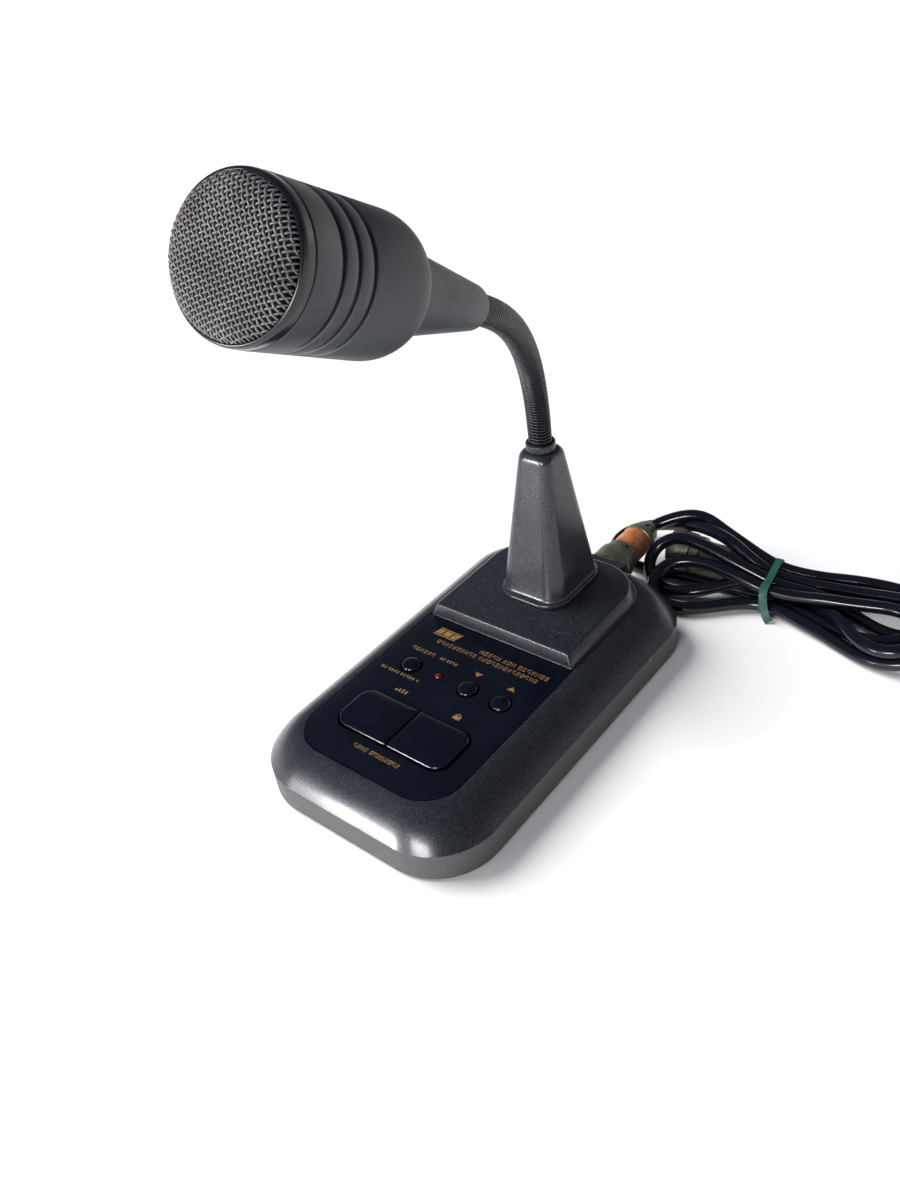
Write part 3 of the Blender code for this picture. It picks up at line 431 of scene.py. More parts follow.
def cut(target, bm, operation="DIFFERENCE", sharp=35):
    """Cuts or joins a shape into a piece's own mesh."""
    mesh = bpy.data.meshes.new("tool")
    bmesh.ops.recalc_face_normals(bm, faces=bm.faces)
    bm.to_mesh(mesh)
    bm.free()
    tool = bpy.data.objects.new("tool", mesh)
    scene.collection.objects.link(tool)
    change = target.modifiers.new("tool", "BOOLEAN")
    change.operation = operation
    change.solver = "EXACT"
    change.object = tool
    bpy.context.view_layer.update()
    graph = bpy.context.evaluated_depsgraph_get()
    result = bpy.data.meshes.new_from_object(target.evaluated_get(graph))
    look = target.data.materials[0]
    target.modifiers.clear()
    target.data = result
    result.materials.clear()
    result.materials.append(look)
    result.shade_smooth()
    result.set_sharp_from_angle(angle=math.radians(sharp))
    bpy.data.objects.remove(tool, do_unlink=True)


def outline(width, y0, y1, r_front, r_rear, z, steps=18, x=0.0):
    """A rounded rectangle as points, counter-clockwise seen from above."""
    half = width / 2
    corners = [
        (x + half - r_front, y0 + r_front, r_front, -90),
        (x + half - r_rear, y1 - r_rear, r_rear, 0),
        (x - half + r_rear, y1 - r_rear, r_rear, 90),
        (x - half + r_front, y0 + r_front, r_front, 180),
    ]
    points = []
    for cx, cy, r, start in corners:
        for i in range(steps + 1):
            angle = math.radians(start + 90 * i / steps)
            points.append(Vector((cx + r * math.cos(angle), cy + r * math.sin(angle), z)))
    return points


def skin(bm, rows, ring_shaped=False):
    """Faces between rings of vertices, capped at both ends or joined end to start."""
    pairs = list(zip(rows, rows[1:]))
    if ring_shaped:
        pairs.append((rows[-1], rows[0]))
    else:
        bm.faces.new(rows[0])
        bm.faces.new(list(reversed(rows[-1])))
    for low, high in pairs:
        count = len(low)
        for i in range(count):
            j = (i + 1) % count
            bm.faces.new((low[i], low[j], high[j], high[i]))


def loft(rings, ring_shaped=False):
    """A closed skin over rings of equal counts: capped at both ends, or joined end to start."""
    bm = bmesh.new()
    skin(bm, [[bm.verts.new(p) for p in ring] for ring in rings], ring_shaped)
    return bm


def turned(profile, sides=64):
    """A turned solid along +Z from (distance, radius) points."""
    bm = bmesh.new()
    rows = []
    for along, radius in profile:
        if radius < 1e-9:
            rows.append([bm.verts.new((0, 0, along))])
            continue
        ring = []
        for i in range(sides):
            angle = 2 * math.pi * i / sides
            ring.append(bm.verts.new((radius * math.cos(angle), radius * math.sin(angle), along)))
        rows.append(ring)
    pairs = list(zip(rows, rows[1:]))
    if not (len(rows[0]) == 1 and len(rows[-1]) == 1):
        pairs.append((rows[-1], rows[0]))
    for first, second in pairs:
        for i in range(sides):
            j = (i + 1) % sides
            low = [first[i % len(first)], first[j % len(first)]]
            high = [second[j % len(second)], second[i % len(second)]]
            corners = list(dict.fromkeys(low + high))
            if len(corners) > 2:
                bm.faces.new(corners)
    return bm


def in_mm(profile):
    return [(along * MM, radius * MM) for along, radius in profile]


def rounded(points, radius, steps=4):
    """A profile whose inner corners are rounded, for points given as (along, radius) pairs."""
    made = [points[0]]
    for a, b, c in zip(points, points[1:], points[2:]):
        pa, pb, pc = Vector((*a, 0)), Vector((*b, 0)), Vector((*c, 0))
        cut_back = min(radius, (pb - pa).length * 0.45, (pc - pb).length * 0.45)
        start = pb + (pa - pb).normalized() * cut_back
        end = pb + (pc - pb).normalized() * cut_back
        for i in range(steps + 1):
            t = i / steps
            p = start * (1 - t) ** 2 + pb * (2 * t * (1 - t)) + end * t**2
            made.append((p.x, p.y))
    made.append(points[-1])
    return made


ALONG_Y = Matrix.Rotation(math.radians(-90), 4, "X")
ALONG_X = Matrix.Rotation(math.radians(90), 4, "Y")


# The cord: its lead, its tied folds and its far end.

# Where the tie crosses the folds, in millimetres.
TIE_X = 74.0

# The cord's route in millimetres: out of the clamp, eight times through the tie, and to the far plug.
CORD_POINTS = [
    (5, 131.5, 15), (6.1, 138.7, 15.8), (11.6, 142.7, 18.6), (17.6, 146.2, 20.9), (24.4, 148.4, 22.4),
    (31.7, 148.8, 22.1), (38.7, 146.9, 20.6), (45.7, 145.1, 19), (52.7, 143.5, 17.4), (59.7, 142.2, 15.4),
    (66.7, 141.6, 13.2), (73.9, 141.7, 11.3), (81.1, 143, 10.1), (88.2, 144.9, 9.4), (95.2, 147.1, 9),
    (102.3, 149.2, 9.2), (109.5, 150.9, 9.4), (116.8, 152.1, 9.5), (124.2, 152.5, 9.8),
    (131.5, 151.5, 10.2), (138.2, 148.4, 10.6), (143.2, 142.9, 10.6), (145.1, 135.6, 9.9),
    (143.4, 128.5, 8.5), (138.7, 122.9, 6.9), (132.2, 119.6, 5.4), (125, 118.5, 3.9), (117.7, 118.9, 3),
    (110.4, 119.8, 3), (103, 120.7, 3), (95.9, 122.3, 3.7), (88.8, 124.4, 3.7), (81.6, 125.9, 3.8),
    (74.2, 126.5, 3.5), (66.9, 126.4, 3), (59.5, 126, 3), (52.1, 125.1, 3.1), (44.8, 124, 3.3),
    (37.5, 122.9, 3.6), (30.2, 121.6, 3.6), (22.9, 120.6, 3.4), (15.6, 119.9, 3.1), (8.1, 119.8, 3),
    (0.8, 120.7, 3.1), (-6, 123.7, 3), (-11, 129.3, 3.1), (-12.5, 136.6, 4), (-9.7, 143.5, 5.4),
    (-3.9, 147.8, 7.2), (3, 149.3, 9.5), (10, 149, 12), (16.8, 147.5, 14.6), (23.4, 145.7, 17.5),
    (29.9, 143.5, 20), (36.8, 141.1, 21.4), (43.9, 139, 21.7), (51.1, 137.3, 20.4), (57.8, 135.9, 17.6),
    (64.5, 135.2, 14.5), (71.4, 135.2, 11.7), (78.6, 136.2, 10.1), (85.8, 137.6, 9.3), (93.1, 139, 9.1),
    (100.4, 140, 9.4), (107.7, 140.8, 9.9), (115, 141.3, 10.8), (122.2, 141.6, 12), (129.4, 141.5, 13.3),
    (136.6, 140.5, 14.7), (143.4, 137.7, 15.8), (149.1, 132.9, 15.7), (152.7, 126.5, 14.2),
    (153.2, 119.4, 12), (150.4, 112.9, 9.6), (145, 108.4, 7), (138.2, 106.3, 5), (130.9, 106.2, 3.8),
    (123.7, 107.7, 3.1), (116.7, 110.1, 3), (109.7, 112.4, 3.2), (102.6, 114.3, 3.8), (95.5, 116.3, 3.8),
    (88.4, 118.4, 4), (81.1, 119.9, 4.2), (73.8, 119.8, 3.8), (66.9, 117.1, 3.7), (60.9, 112.8, 3.6),
    (55.3, 107.9, 3.4), (49.7, 103.2, 3.6), (43.3, 99.5, 3.5), (35.9, 98.3, 3.6), (28.8, 100.5, 5),
    (24.4, 106.1, 7.5), (24.4, 112.9, 10.8), (28.7, 118.5, 13.5), (35.4, 121.6, 14.8), (42.7, 122.6, 15.1),
    (50.1, 122.6, 14.9), (57.5, 122.2, 14.2), (64.8, 122.1, 13.1), (71.9, 122.4, 11.2), (79.2, 123.1, 10.5),
    (86.6, 124, 10.6), (93.8, 125.1, 11.3), (101, 126.5, 12.2), (108.2, 128.2, 12.3), (115.4, 130.1, 12.4),
    (122.5, 131.9, 12.8), (129.8, 132.7, 13.5), (137.1, 131.4, 14.2), (143.3, 127.2, 14.4),
    (146.5, 120.4, 13.9), (145.4, 112.9, 13.1), (140.2, 107.6, 11.7), (132.9, 106, 10.5),
    (125.8, 107.9, 10), (119.6, 111.9, 9.6), (114, 116.6, 9.4), (108.4, 121.5, 8.5), (102.5, 125.4, 6.6),
    (96.1, 128.3, 4.7), (89.4, 131.1, 3.5), (82.1, 132.8, 3.5), (74.7, 132.8, 4.8), (68, 130.7, 7.1),
    (62, 126.6, 8.8), (56.2, 122.2, 8.2), (50.7, 117.5, 6.7), (44.8, 113.4, 5.2), (38.1, 110.5, 3.9),
    (30.8, 109.4, 3), (23.4, 110.8, 3.7), (17.6, 114.6, 6.7), (15.5, 120, 11.6), (18, 124.8, 16.9),
    (24, 127.4, 20.8), (31.2, 128.1, 22), (38.6, 128, 21.3), (45.8, 127.9, 19.8), (52.9, 128, 17.9),
    (60, 128.2, 15.8), (67.1, 128.6, 13.7), (74, 129.2, 11.3), (81.2, 130.2, 9.9), (88.5, 131.3, 9.4),
    (95.8, 132.5, 8.8), (103, 132.5, 7.4), (110.2, 131.6, 5.8), (117.2, 130.1, 4.4), (124.3, 128.4, 3.6),
    (131.7, 128, 3.2), (139, 129.9, 3), (144.7, 134.8, 3.2), (147.1, 141.9, 3.5), (145.4, 149.3, 3.5),
    (140, 154.6, 3.6), (132.8, 156.5, 3.6), (125.5, 155.7, 3.1), (118.5, 153.3, 3), (111.7, 150.5, 3),
    (104.7, 148.1, 3.1), (97.6, 146.2, 3.3), (90.5, 144.3, 3.7), (83.4, 142.4, 4.1), (76.3, 140.6, 4.6),
    (69.1, 138.9, 5.7), (62.2, 137.1, 7.8), (51.5, 135, 10.4),
]


def smooth_line(points, spacing=1.6):
    """Even points along one smooth curve through points in millimetres, in metres."""
    knots = [Vector(p) * MM for p in points]
    knots = [2 * knots[0] - knots[1]] + knots + [2 * knots[-1] - knots[-2]]
    fine = []
    for a, b, c, d in zip(knots, knots[1:], knots[2:], knots[3:]):
        for i in range(16):
            t = i / 16
            bend = (2 * a - 5 * b + 4 * c - d) * t * t + (3 * b - a - 3 * c + d) * t**3
            fine.append(b + ((c - a) * t + bend) / 2)
    fine.append(knots[-2])
    path = np.array([tuple(p) for p in fine])
    run = np.concatenate([[0], np.cumsum(np.linalg.norm(np.diff(path, axis=0), axis=1))])
    count = int(run[-1] / (spacing * MM)) + 1
    even = np.linspace(0, run[-1], count)
    path = np.stack([np.interp(even, run, path[:, k]) for k in range(3)], axis=1)
    for _ in range(6):
        path[1:-1] = path[1:-1] * 0.5 + (path[:-2] + path[2:]) * 0.25
    return path


def cord():
    path = smooth_line(CORD_POINTS)
    length = float(np.linalg.norm(np.diff(path, axis=0), axis=1).sum())
    data = bpy.data.curves.new("cord", "CURVE")
    data.dimensions = "3D"
    data.bevel_depth = CORD_R
    data.bevel_resolution = 6
    data.use_fill_caps = True
    line = data.splines.new("POLY")
    line.points.add(len(path) - 1)
    for point, place in zip(line.points, path):
        point.co = (*place, 1)
    line.use_smooth = True
    data.materials.append(CORD)
    made = bpy.data.objects.new("cord", data)
    scene.collection.objects.link(made)
    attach(made, "base")
    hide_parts("cord_lead", "cord_hank")
    return made, path, length


def tie():
    """A flat strap round the folds, lapped at the front, with a short tail."""
    mid_y, mid_z = 130.75 * MM, 7.65 * MM
    half_y, half_z, r = 14.4 * MM, 7.35 * MM, 4.0 * MM
    thick, wide = 0.55 * MM, 3.7 * MM
    loop = []
    for cy, cz, start in ((1, 1, 0), (-1, 1, 90), (-1, -1, 180), (1, -1, 270)):
        for i in range(9):
            angle = math.radians(start + 90 * i / 8)
            loop.append((
                cy * (half_y - r) + r * math.cos(angle),
                cz * (half_z - r) + r * math.sin(angle),
            ))
    count = len(loop)
    path = []
    for i, (y, z) in enumerate(loop):
        lean = -(y / half_y) * 2.1 * MM
        path.append(Vector((TIE_X * MM + lean, mid_y + y, mid_z + z)))
    bm = bmesh.new()
    rows = []
    for i, p in enumerate(path):
        along = (path[(i + 1) % count] - path[i - 1]).normalized()
        across = Vector((1, 0, 0))
        across = (across - along * across.dot(along)).normalized()
        out = across.cross(along)
        if out.dot(p - Vector((TIE_X * MM, mid_y, mid_z))) < 0:
            out = -out
        section = []
        for a, b in ((-1, 0), (-0.9, 1), (0.9, 1), (1, 0), (0.9, -0.6), (-0.9, -0.6)):
            section.append(bm.verts.new(p + across * (a * wide / 2) + out * (b * thick)))
        rows.append(section)
    skin(bm, rows, True)
    # The lapped end and its tail, which hangs down the front to the desk.
    lap = [
        Vector((75.2, 121.4, 15.75)), Vector((75.6, 118.4, 14.9)), Vector((76.0, 116.3, 12.4)),
        Vector((76.6, 115.5, 8.8)), Vector((77.6, 115.1, 5.4)), Vector((79.2, 114.1, 2.6)),
        Vector((81.4, 112.8, 1.0)),
    ]
    rows = []
    for i, p in enumerate(lap):
        a, b = lap[max(i - 1, 0)], lap[min(i + 1, len(lap) - 1)]
        along = (b - a).normalized()
        across = (Vector((1, 0.15, 0)) - along * Vector((1, 0.15, 0)).dot(along)).normalized()
        out = across.cross(along).normalized()
        rows.append([
            bm.verts.new((p + across * (s * 2.0) + out * (o * 0.3)) * MM)
            for s, o in ((-1, 0), (-0.9, 1), (0.9, 1), (1, 0), (0.9, -1), (-0.9, -1))
        ])
    skin(bm, rows)
    return piece("tie", bm, TIE, "base", ["cord_tie"], sharp=50)


def far_plug():
    """The round plug on the cord's other end, lying under its folds."""
    turn = Matrix.Translation(FAR_PLUG) @ ALONG_X
    ring = rounded([
        (0, 8.1), (0, 9.3), (0.7, 9.75), (5.4, 9.75), (5.9, 9.2), (11.4, 9.2), (11.4, 8.1),
    ], 0.4)
    ring_piece = piece(
        "far_ring",
        turned(in_mm(ring), 144),
        NICKEL, "base", ["far_plug_ring"], turn,
    )
    shell = rounded([
        (1.2, 0), (1.2, 6.3), (6.5, 6.3), (6.5, 7.6), (11.8, 7.6), (11.8, 8.7), (16.3, 8.7), (16.7, 7.4),
        (31, 7.4), (32, 5.2), (38, 5.0), (38, 0),
    ], 0.35)
    shell_piece = piece(
        "far_shell",
        turned(in_mm(shell), 64),
        NICKEL, "base", ["far_plug_shell"], turn,
    )
    return [ring_piece, shell_piece]


def rear_plug():
    """The plug in the base's socket: coupling ring, shell, sleeve, collar and cord clamp."""
    turn = Matrix.Translation((PLUG_X, 0, PLUG_Z)) @ ALONG_Y
    ring = rounded([
        (94.1, 8.15), (94.1, 9.2), (94.8, 9.95), (99.4, 9.95), (99.9, 9.5), (100.4, 9.95), (104.6, 9.95),
        (105.5, 9.0), (105.5, 8.15),
    ], 0.45)
    made = [piece(
        "coupling_ring",
        turned(in_mm(ring), 96),
        NICKEL, "plug_ring", ["plug_ring"], turn,
    )]
    shell = rounded([
        (100.3, 5.2), (100.3, 7.6), (105.8, 7.6), (105.8, 8.7), (110.2, 8.7), (110.8, 7.2), (124.4, 7.2),
        (124.9, 8.15), (127.6, 8.15), (128.5, 7.4), (128.5, 3.4), (122, 3.4), (120, 5.2),
    ], 0.3)
    body = piece(
        "plug_body",
        turned(in_mm(shell), 72),
        NICKEL, "base", ["plug_shell"], turn,
    )
    screw_hole = turned([(7.4 * MM, 0), (7.4 * MM, 0.85 * MM), (9.5 * MM, 0.85 * MM), (9.5 * MM, 0)], 20)
    at_side = Matrix.Translation((PLUG_X, 108 * MM, PLUG_Z)) @ Matrix.Rotation(math.radians(28), 4, "Y")
    bmesh.ops.transform(screw_hole, matrix=at_side, verts=screw_hole.verts)
    cut(body, screw_hole)
    made.append(body)
    sleeve = rounded([(111, 7.35), (111, 7.85), (124.2, 7.85), (124.2, 7.35)], 0.15)
    made.append(piece(
        "plug_sleeve",
        turned(in_mm(sleeve), 72),
        ORANGE, "base", ["plug_band"], turn,
    ))
    # The clamp: a tongue with a rounded end, and a saddle screwed down over the cord.
    rings = []
    for y, half_x, half_z in (
        (128.8, 5.4, 4.4), (129.2, 5.6, 4.6), (133.5, 5.6, 4.6),
        (135.6, 5.2, 4.5), (136.9, 4.3, 4.2), (137.5, 3.6, 3.7),
    ):
        ring = []
        for i in range(48):
            angle = 2 * math.pi * i / 48
            c, s = math.cos(angle), math.sin(angle)
            ring.append(Vector((
                PLUG_X + math.copysign(abs(c) ** 0.55, c) * half_x * MM,
                y * MM,
                PLUG_Z + math.copysign(abs(s) ** 0.55, s) * half_z * MM,
            )))
        rings.append(ring)
    clamp = piece("cord_clamp", loft(rings), NICKEL, "base", ["plug_clamp"], sharp=50)
    bore = turned([(120 * MM, 0), (120 * MM, 3.15 * MM), (145 * MM, 3.15 * MM), (145 * MM, 0)], 40)
    bmesh.ops.transform(bore, matrix=turn, verts=bore.verts)
    cut(clamp, bore, sharp=50)
    split = loft([
        outline(14 * MM, 127 * MM, 139 * MM, 0.5 * MM, 0.5 * MM, z, 2, PLUG_X)
        for z in (14.8 * MM, 15.2 * MM)
    ])
    cut(clamp, split, sharp=50)
    made.append(clamp)
    head = rounded([(0, 0), (0, 1.5), (0.75, 1.45), (1.0, 0.9), (1.0, 0)], 0.25)
    screw = piece(
        "clamp_screw_head",
        turned(in_mm(head), 32),
        STEEL, "base", ["clamp_screw"],
        Matrix.Translation((PLUG_X, 133.2 * MM, PLUG_Z + 4.6 * MM)),
    )
    slot_cut = loft([
        outline(0.4 * MM, 131 * MM, 135.4 * MM, 0.1 * MM, 0.1 * MM, z, 2, PLUG_X)
        for z in (PLUG_Z + 5.2 * MM, PLUG_Z + 6.5 * MM)
    ])
    cut(screw, slot_cut)
    made.append(screw)
    return made


cord_piece, CORD_PATH, CORD_LENGTH = cord()
on_cord = [tie(), *far_plug(), *rear_plug()]


# Base cover, panel and platform.


def base_outline(inset, z):
    r_front, r_rear = BASE_R_FRONT - inset, BASE_R_REAR - inset
    return outline(BASE_W - 2 * inset, -BASE_L / 2 + inset, BASE_L / 2 - inset, r_front, r_rear, z, 24)


def deck_outline(inset, z):
    r_front, r_rear = DECK_R_FRONT - inset, DECK_R_REAR - inset
    return outline(DECK_W - 2 * inset, DECK_FRONT + inset, DECK_REAR - inset, r_front, r_rear, z, 24)


def shoulder_ring(t):
    z = CREASE_Z + (DECK_Z - CREASE_Z) * (1 - (1 - t) ** SHOULDER_POWER)

    def between(a, b):
        return a + (b - a) * t

    return outline(
        between(BASE_W, DECK_W),
        between(-BASE_L / 2, DECK_FRONT),
        between(BASE_L / 2, DECK_REAR),
        between(BASE_R_FRONT, DECK_R_FRONT),
        between(BASE_R_REAR, DECK_R_REAR),
        z,
        24,
    )


def base_cover():
    rings = [
        base_outline(0.6 * MM, RIM_Z),
        base_outline(0.2 * MM, RIM_Z + 0.2 * MM),
        base_outline(0, RIM_Z + 0.6 * MM),
    ]
    ratio = (DECK_Z - CREASE_Z) * SHOULDER_POWER / ((BASE_W - DECK_W) / 2)
    steepest = math.atan(ratio)
    bands = 28
    for i in range(bands):
        slope = steepest * (1 - i / bands)
        rings.append(shoulder_ring(1 - (math.tan(slope) / ratio) ** (1 / (SHOULDER_POWER - 1))))
    rings += [
        shoulder_ring(0.9),
        shoulder_ring(0.99),
        deck_outline(0, DECK_Z - 0.2 * MM),
        deck_outline(0, LEDGE_Z),
        deck_outline(LEDGE, LEDGE_Z),
        deck_outline(LEDGE, LEDGE_Z - WALL),
        base_outline(WALL + 2 * MM, CREASE_Z + 4 * MM),
        base_outline(WALL, CREASE_Z),
        base_outline(WALL, RIM_Z),
    ]
    made = piece("base_cover", loft(rings, True), PAINT, "base", ["top_cover"], sharp=11)
    land = loft([
        outline(26 * MM, REAR_Y - 6 * MM, REAR_Y + 0.4 * MM, 0.2 * MM, 0.2 * MM, z, 3, PLUG_X)
        for z in (3.5 * MM, 25 * MM)
    ])
    cut(made, land, "UNION", 11)
    hole = turned([(-20 * MM, 0), (-20 * MM, 8.1 * MM), (20 * MM, 8.1 * MM), (20 * MM, 0)], 48)
    at_socket = Matrix.Translation((PLUG_X, REAR_Y, PLUG_Z)) @ ALONG_Y
    bmesh.ops.transform(hole, matrix=at_socket, verts=hole.verts)
    cut(made, hole, sharp=11)
    return made


def panel():
    rear = PLATFORM_Y - 2 * GAP

    def ring(inset, z):
        edge = GAP + inset
        front = DECK_FRONT + edge
        return outline(DECK_W - 2 * edge, front, rear - inset, DECK_R_FRONT - edge, 0.4 * MM, z, 24)

    low = DECK_Z - PANEL_T
    rings = [
        ring(0, low),
        ring(0, DECK_Z - 0.3 * MM),
        ring(0.09 * MM, DECK_Z - 0.09 * MM),
        ring(0.3 * MM, DECK_Z),
    ]
    made = piece("panel", loft(rings), PANEL, "base", ["control_panel"], sharp=25)
    width = 2 * (KEY_W + 0.6 * MM)
    corner = 6.4 * MM
    levels = (
        (low - 1 * MM, 0),
        (DECK_Z - 0.25 * MM, 0),
        (DECK_Z + 0.05 * MM, 0.3 * MM),
        (DECK_Z + 1 * MM, 0.3 * MM),
    )
    window = loft([
        outline(
            width + 2 * out,
            KEY_FRONT - 0.8 * MM - out,
            KEY_REAR + 0.5 * MM + out,
            corner + out,
            corner + out,
            z,
            12,
        )
        for z, out in levels
    ])
    cut(made, window, sharp=25)
    for x, radius in ((POWER_X, WELL_R), (DOWN_X, WELL_R), (UP_X, WELL_R), (LED_X, 1.75 * MM)):
        r_mm = radius / MM
        profile = [(-5, 0), (-5, r_mm), (-0.3, r_mm), (0.05, r_mm + 0.35), (4, r_mm + 0.35), (4, 0)]
        well = turned(in_mm(profile), 48)
        bmesh.ops.translate(well, verts=well.verts, vec=(x, BUTTON_Y, DECK_Z))
        cut(made, well, sharp=25)
    return made


def curve_between(a, b, c, steps):
    """Points of one quadratic curve from a to c that leans towards b."""
    found = []
    for i in range(steps + 1):
        t = i / steps
        found.append(tuple(p * (1 - t) ** 2 + q * 2 * t * (1 - t) + r * t * t for p, q, r in zip(a, b, c)))
    return found


def platform():
    low, top = LEDGE_Z + GAP, DECK_Z + PLATFORM_H
    side = (DECK_W - PLATFORM_TOP_W) / 2

    def ring(inset_side, inset_front, z):
        return outline(
            DECK_W - 2 * (GAP + inset_side),
            PLATFORM_Y + inset_front,
            DECK_REAR - GAP - inset_side,
            1.2 * MM,
            DECK_R_REAR - GAP - inset_side * 0.7,
            z,
            24,
        )

    rings = [ring(0, 0, low), ring(0, 0, DECK_Z - 0.2 * MM)]
    foot = curve_between((0, 0, -0.2), (0.1, 0.06, 0.15), (0.9, 0.5, 0.4), 4)
    side_mm = side / MM
    brow = curve_between(
        (side_mm - 0.75, 1.25, PLATFORM_H / MM - 0.7),
        (side_mm - 0.05, 1.5, PLATFORM_H / MM),
        (side_mm + 0.75, 2.2, PLATFORM_H / MM),
        8,
    )
    rings += [ring(a * MM, b * MM, DECK_Z + z * MM) for a, b, z in foot[1:] + brow]
    hole = 14 * MM
    rings += [
        outline(hole, TOWER_Y - hole / 2, TOWER_Y + hole / 2, 6.9 * MM, 6.9 * MM, z, 24)
        for z in (top, top - WALL)
    ]
    rings += [
        ring(side + 1.6 * MM, 3.4 * MM, top - WALL),
        ring(2.6 * MM, 2.6 * MM, DECK_Z),
        ring(2.6 * MM, 2.6 * MM, low),
    ]
    return piece("platform", loft(rings, True), PAINT, "base", ["rear_platform"], sharp=40)


def tower():
    low = DECK_Z + PLATFORM_H + GAP
    low_mm, top_mm = low / MM, TOWER_TOP_Z / MM

    def ring(wide, deep, r, z):
        half = deep / 2 * MM
        return outline(wide * MM, TOWER_Y - half, TOWER_Y + half, r * MM, r * MM, z * MM, 20)

    sections = [(34.6, 41.7, 11.3, low_mm), (34.9, 42, 11.5, low_mm + 0.25)]
    sections += curve_between(
        (34.9, 42, 11.5, low_mm + 1.1),
        (34.9, 42, 11.5, low_mm + 2.0),
        (33.4, 39.8, 10.4, low_mm + 2.25),
        5,
    )
    sections += curve_between(
        (33.0, 39.2, 10.0, low_mm + 2.3),
        (31.9, 37.4, 8.2, low_mm + 2.35),
        (31.5, 36.7, 8.0, low_mm + 4.2),
        5,
    )[1:]
    t_top = TOWER_TOP / MM
    sections += [(24.0, 27.0, 6.3, (low_mm + top_mm) / 2)]
    sections += curve_between(
        (t_top + 1.0, t_top + 1.2, 4.4, top_mm - 4),
        (t_top + 0.2, t_top + 0.3, 4.2, top_mm - 0.4),
        (t_top - 3.2, t_top - 3.2, 5.4, top_mm),
        7,
    )
    outer = [ring(*s) for s in sections]
    bore = 10.7
    inner = [
        ring(bore, bore, 5.3, top_mm),
        ring(bore, bore, 5.3, top_mm - 12),
        ring(13.5, 14, 4, top_mm - 13),
        ring(27, 32, 6, low_mm + 3),
        ring(27, 32, 6, low_mm),
    ]
    body = piece("tower", loft(outer + inner, True), PAINT, "base", ["neck_tower"], sharp=40)
    z = TOWER_TOP_Z / MM + 0.3
    profile = rounded([
        (z, 5.4), (z, 6.2), (z + 0.2, 6.35), (z + 2.9, 6.35), (z + 3.4, 5.85), (z + 3.4, 5.4),
    ], 0.3)
    collar = piece(
        "collar",
        turned(in_mm(profile), 64),
        COLLAR, "base", ["tower_collar"],
        Matrix.Translation((0, TOWER_Y, 0)),
    )
    return body, collar


base_cover()
panel()
platform()
tower()


# The panel's printed marks: plain bars and signs, none of them a letter.


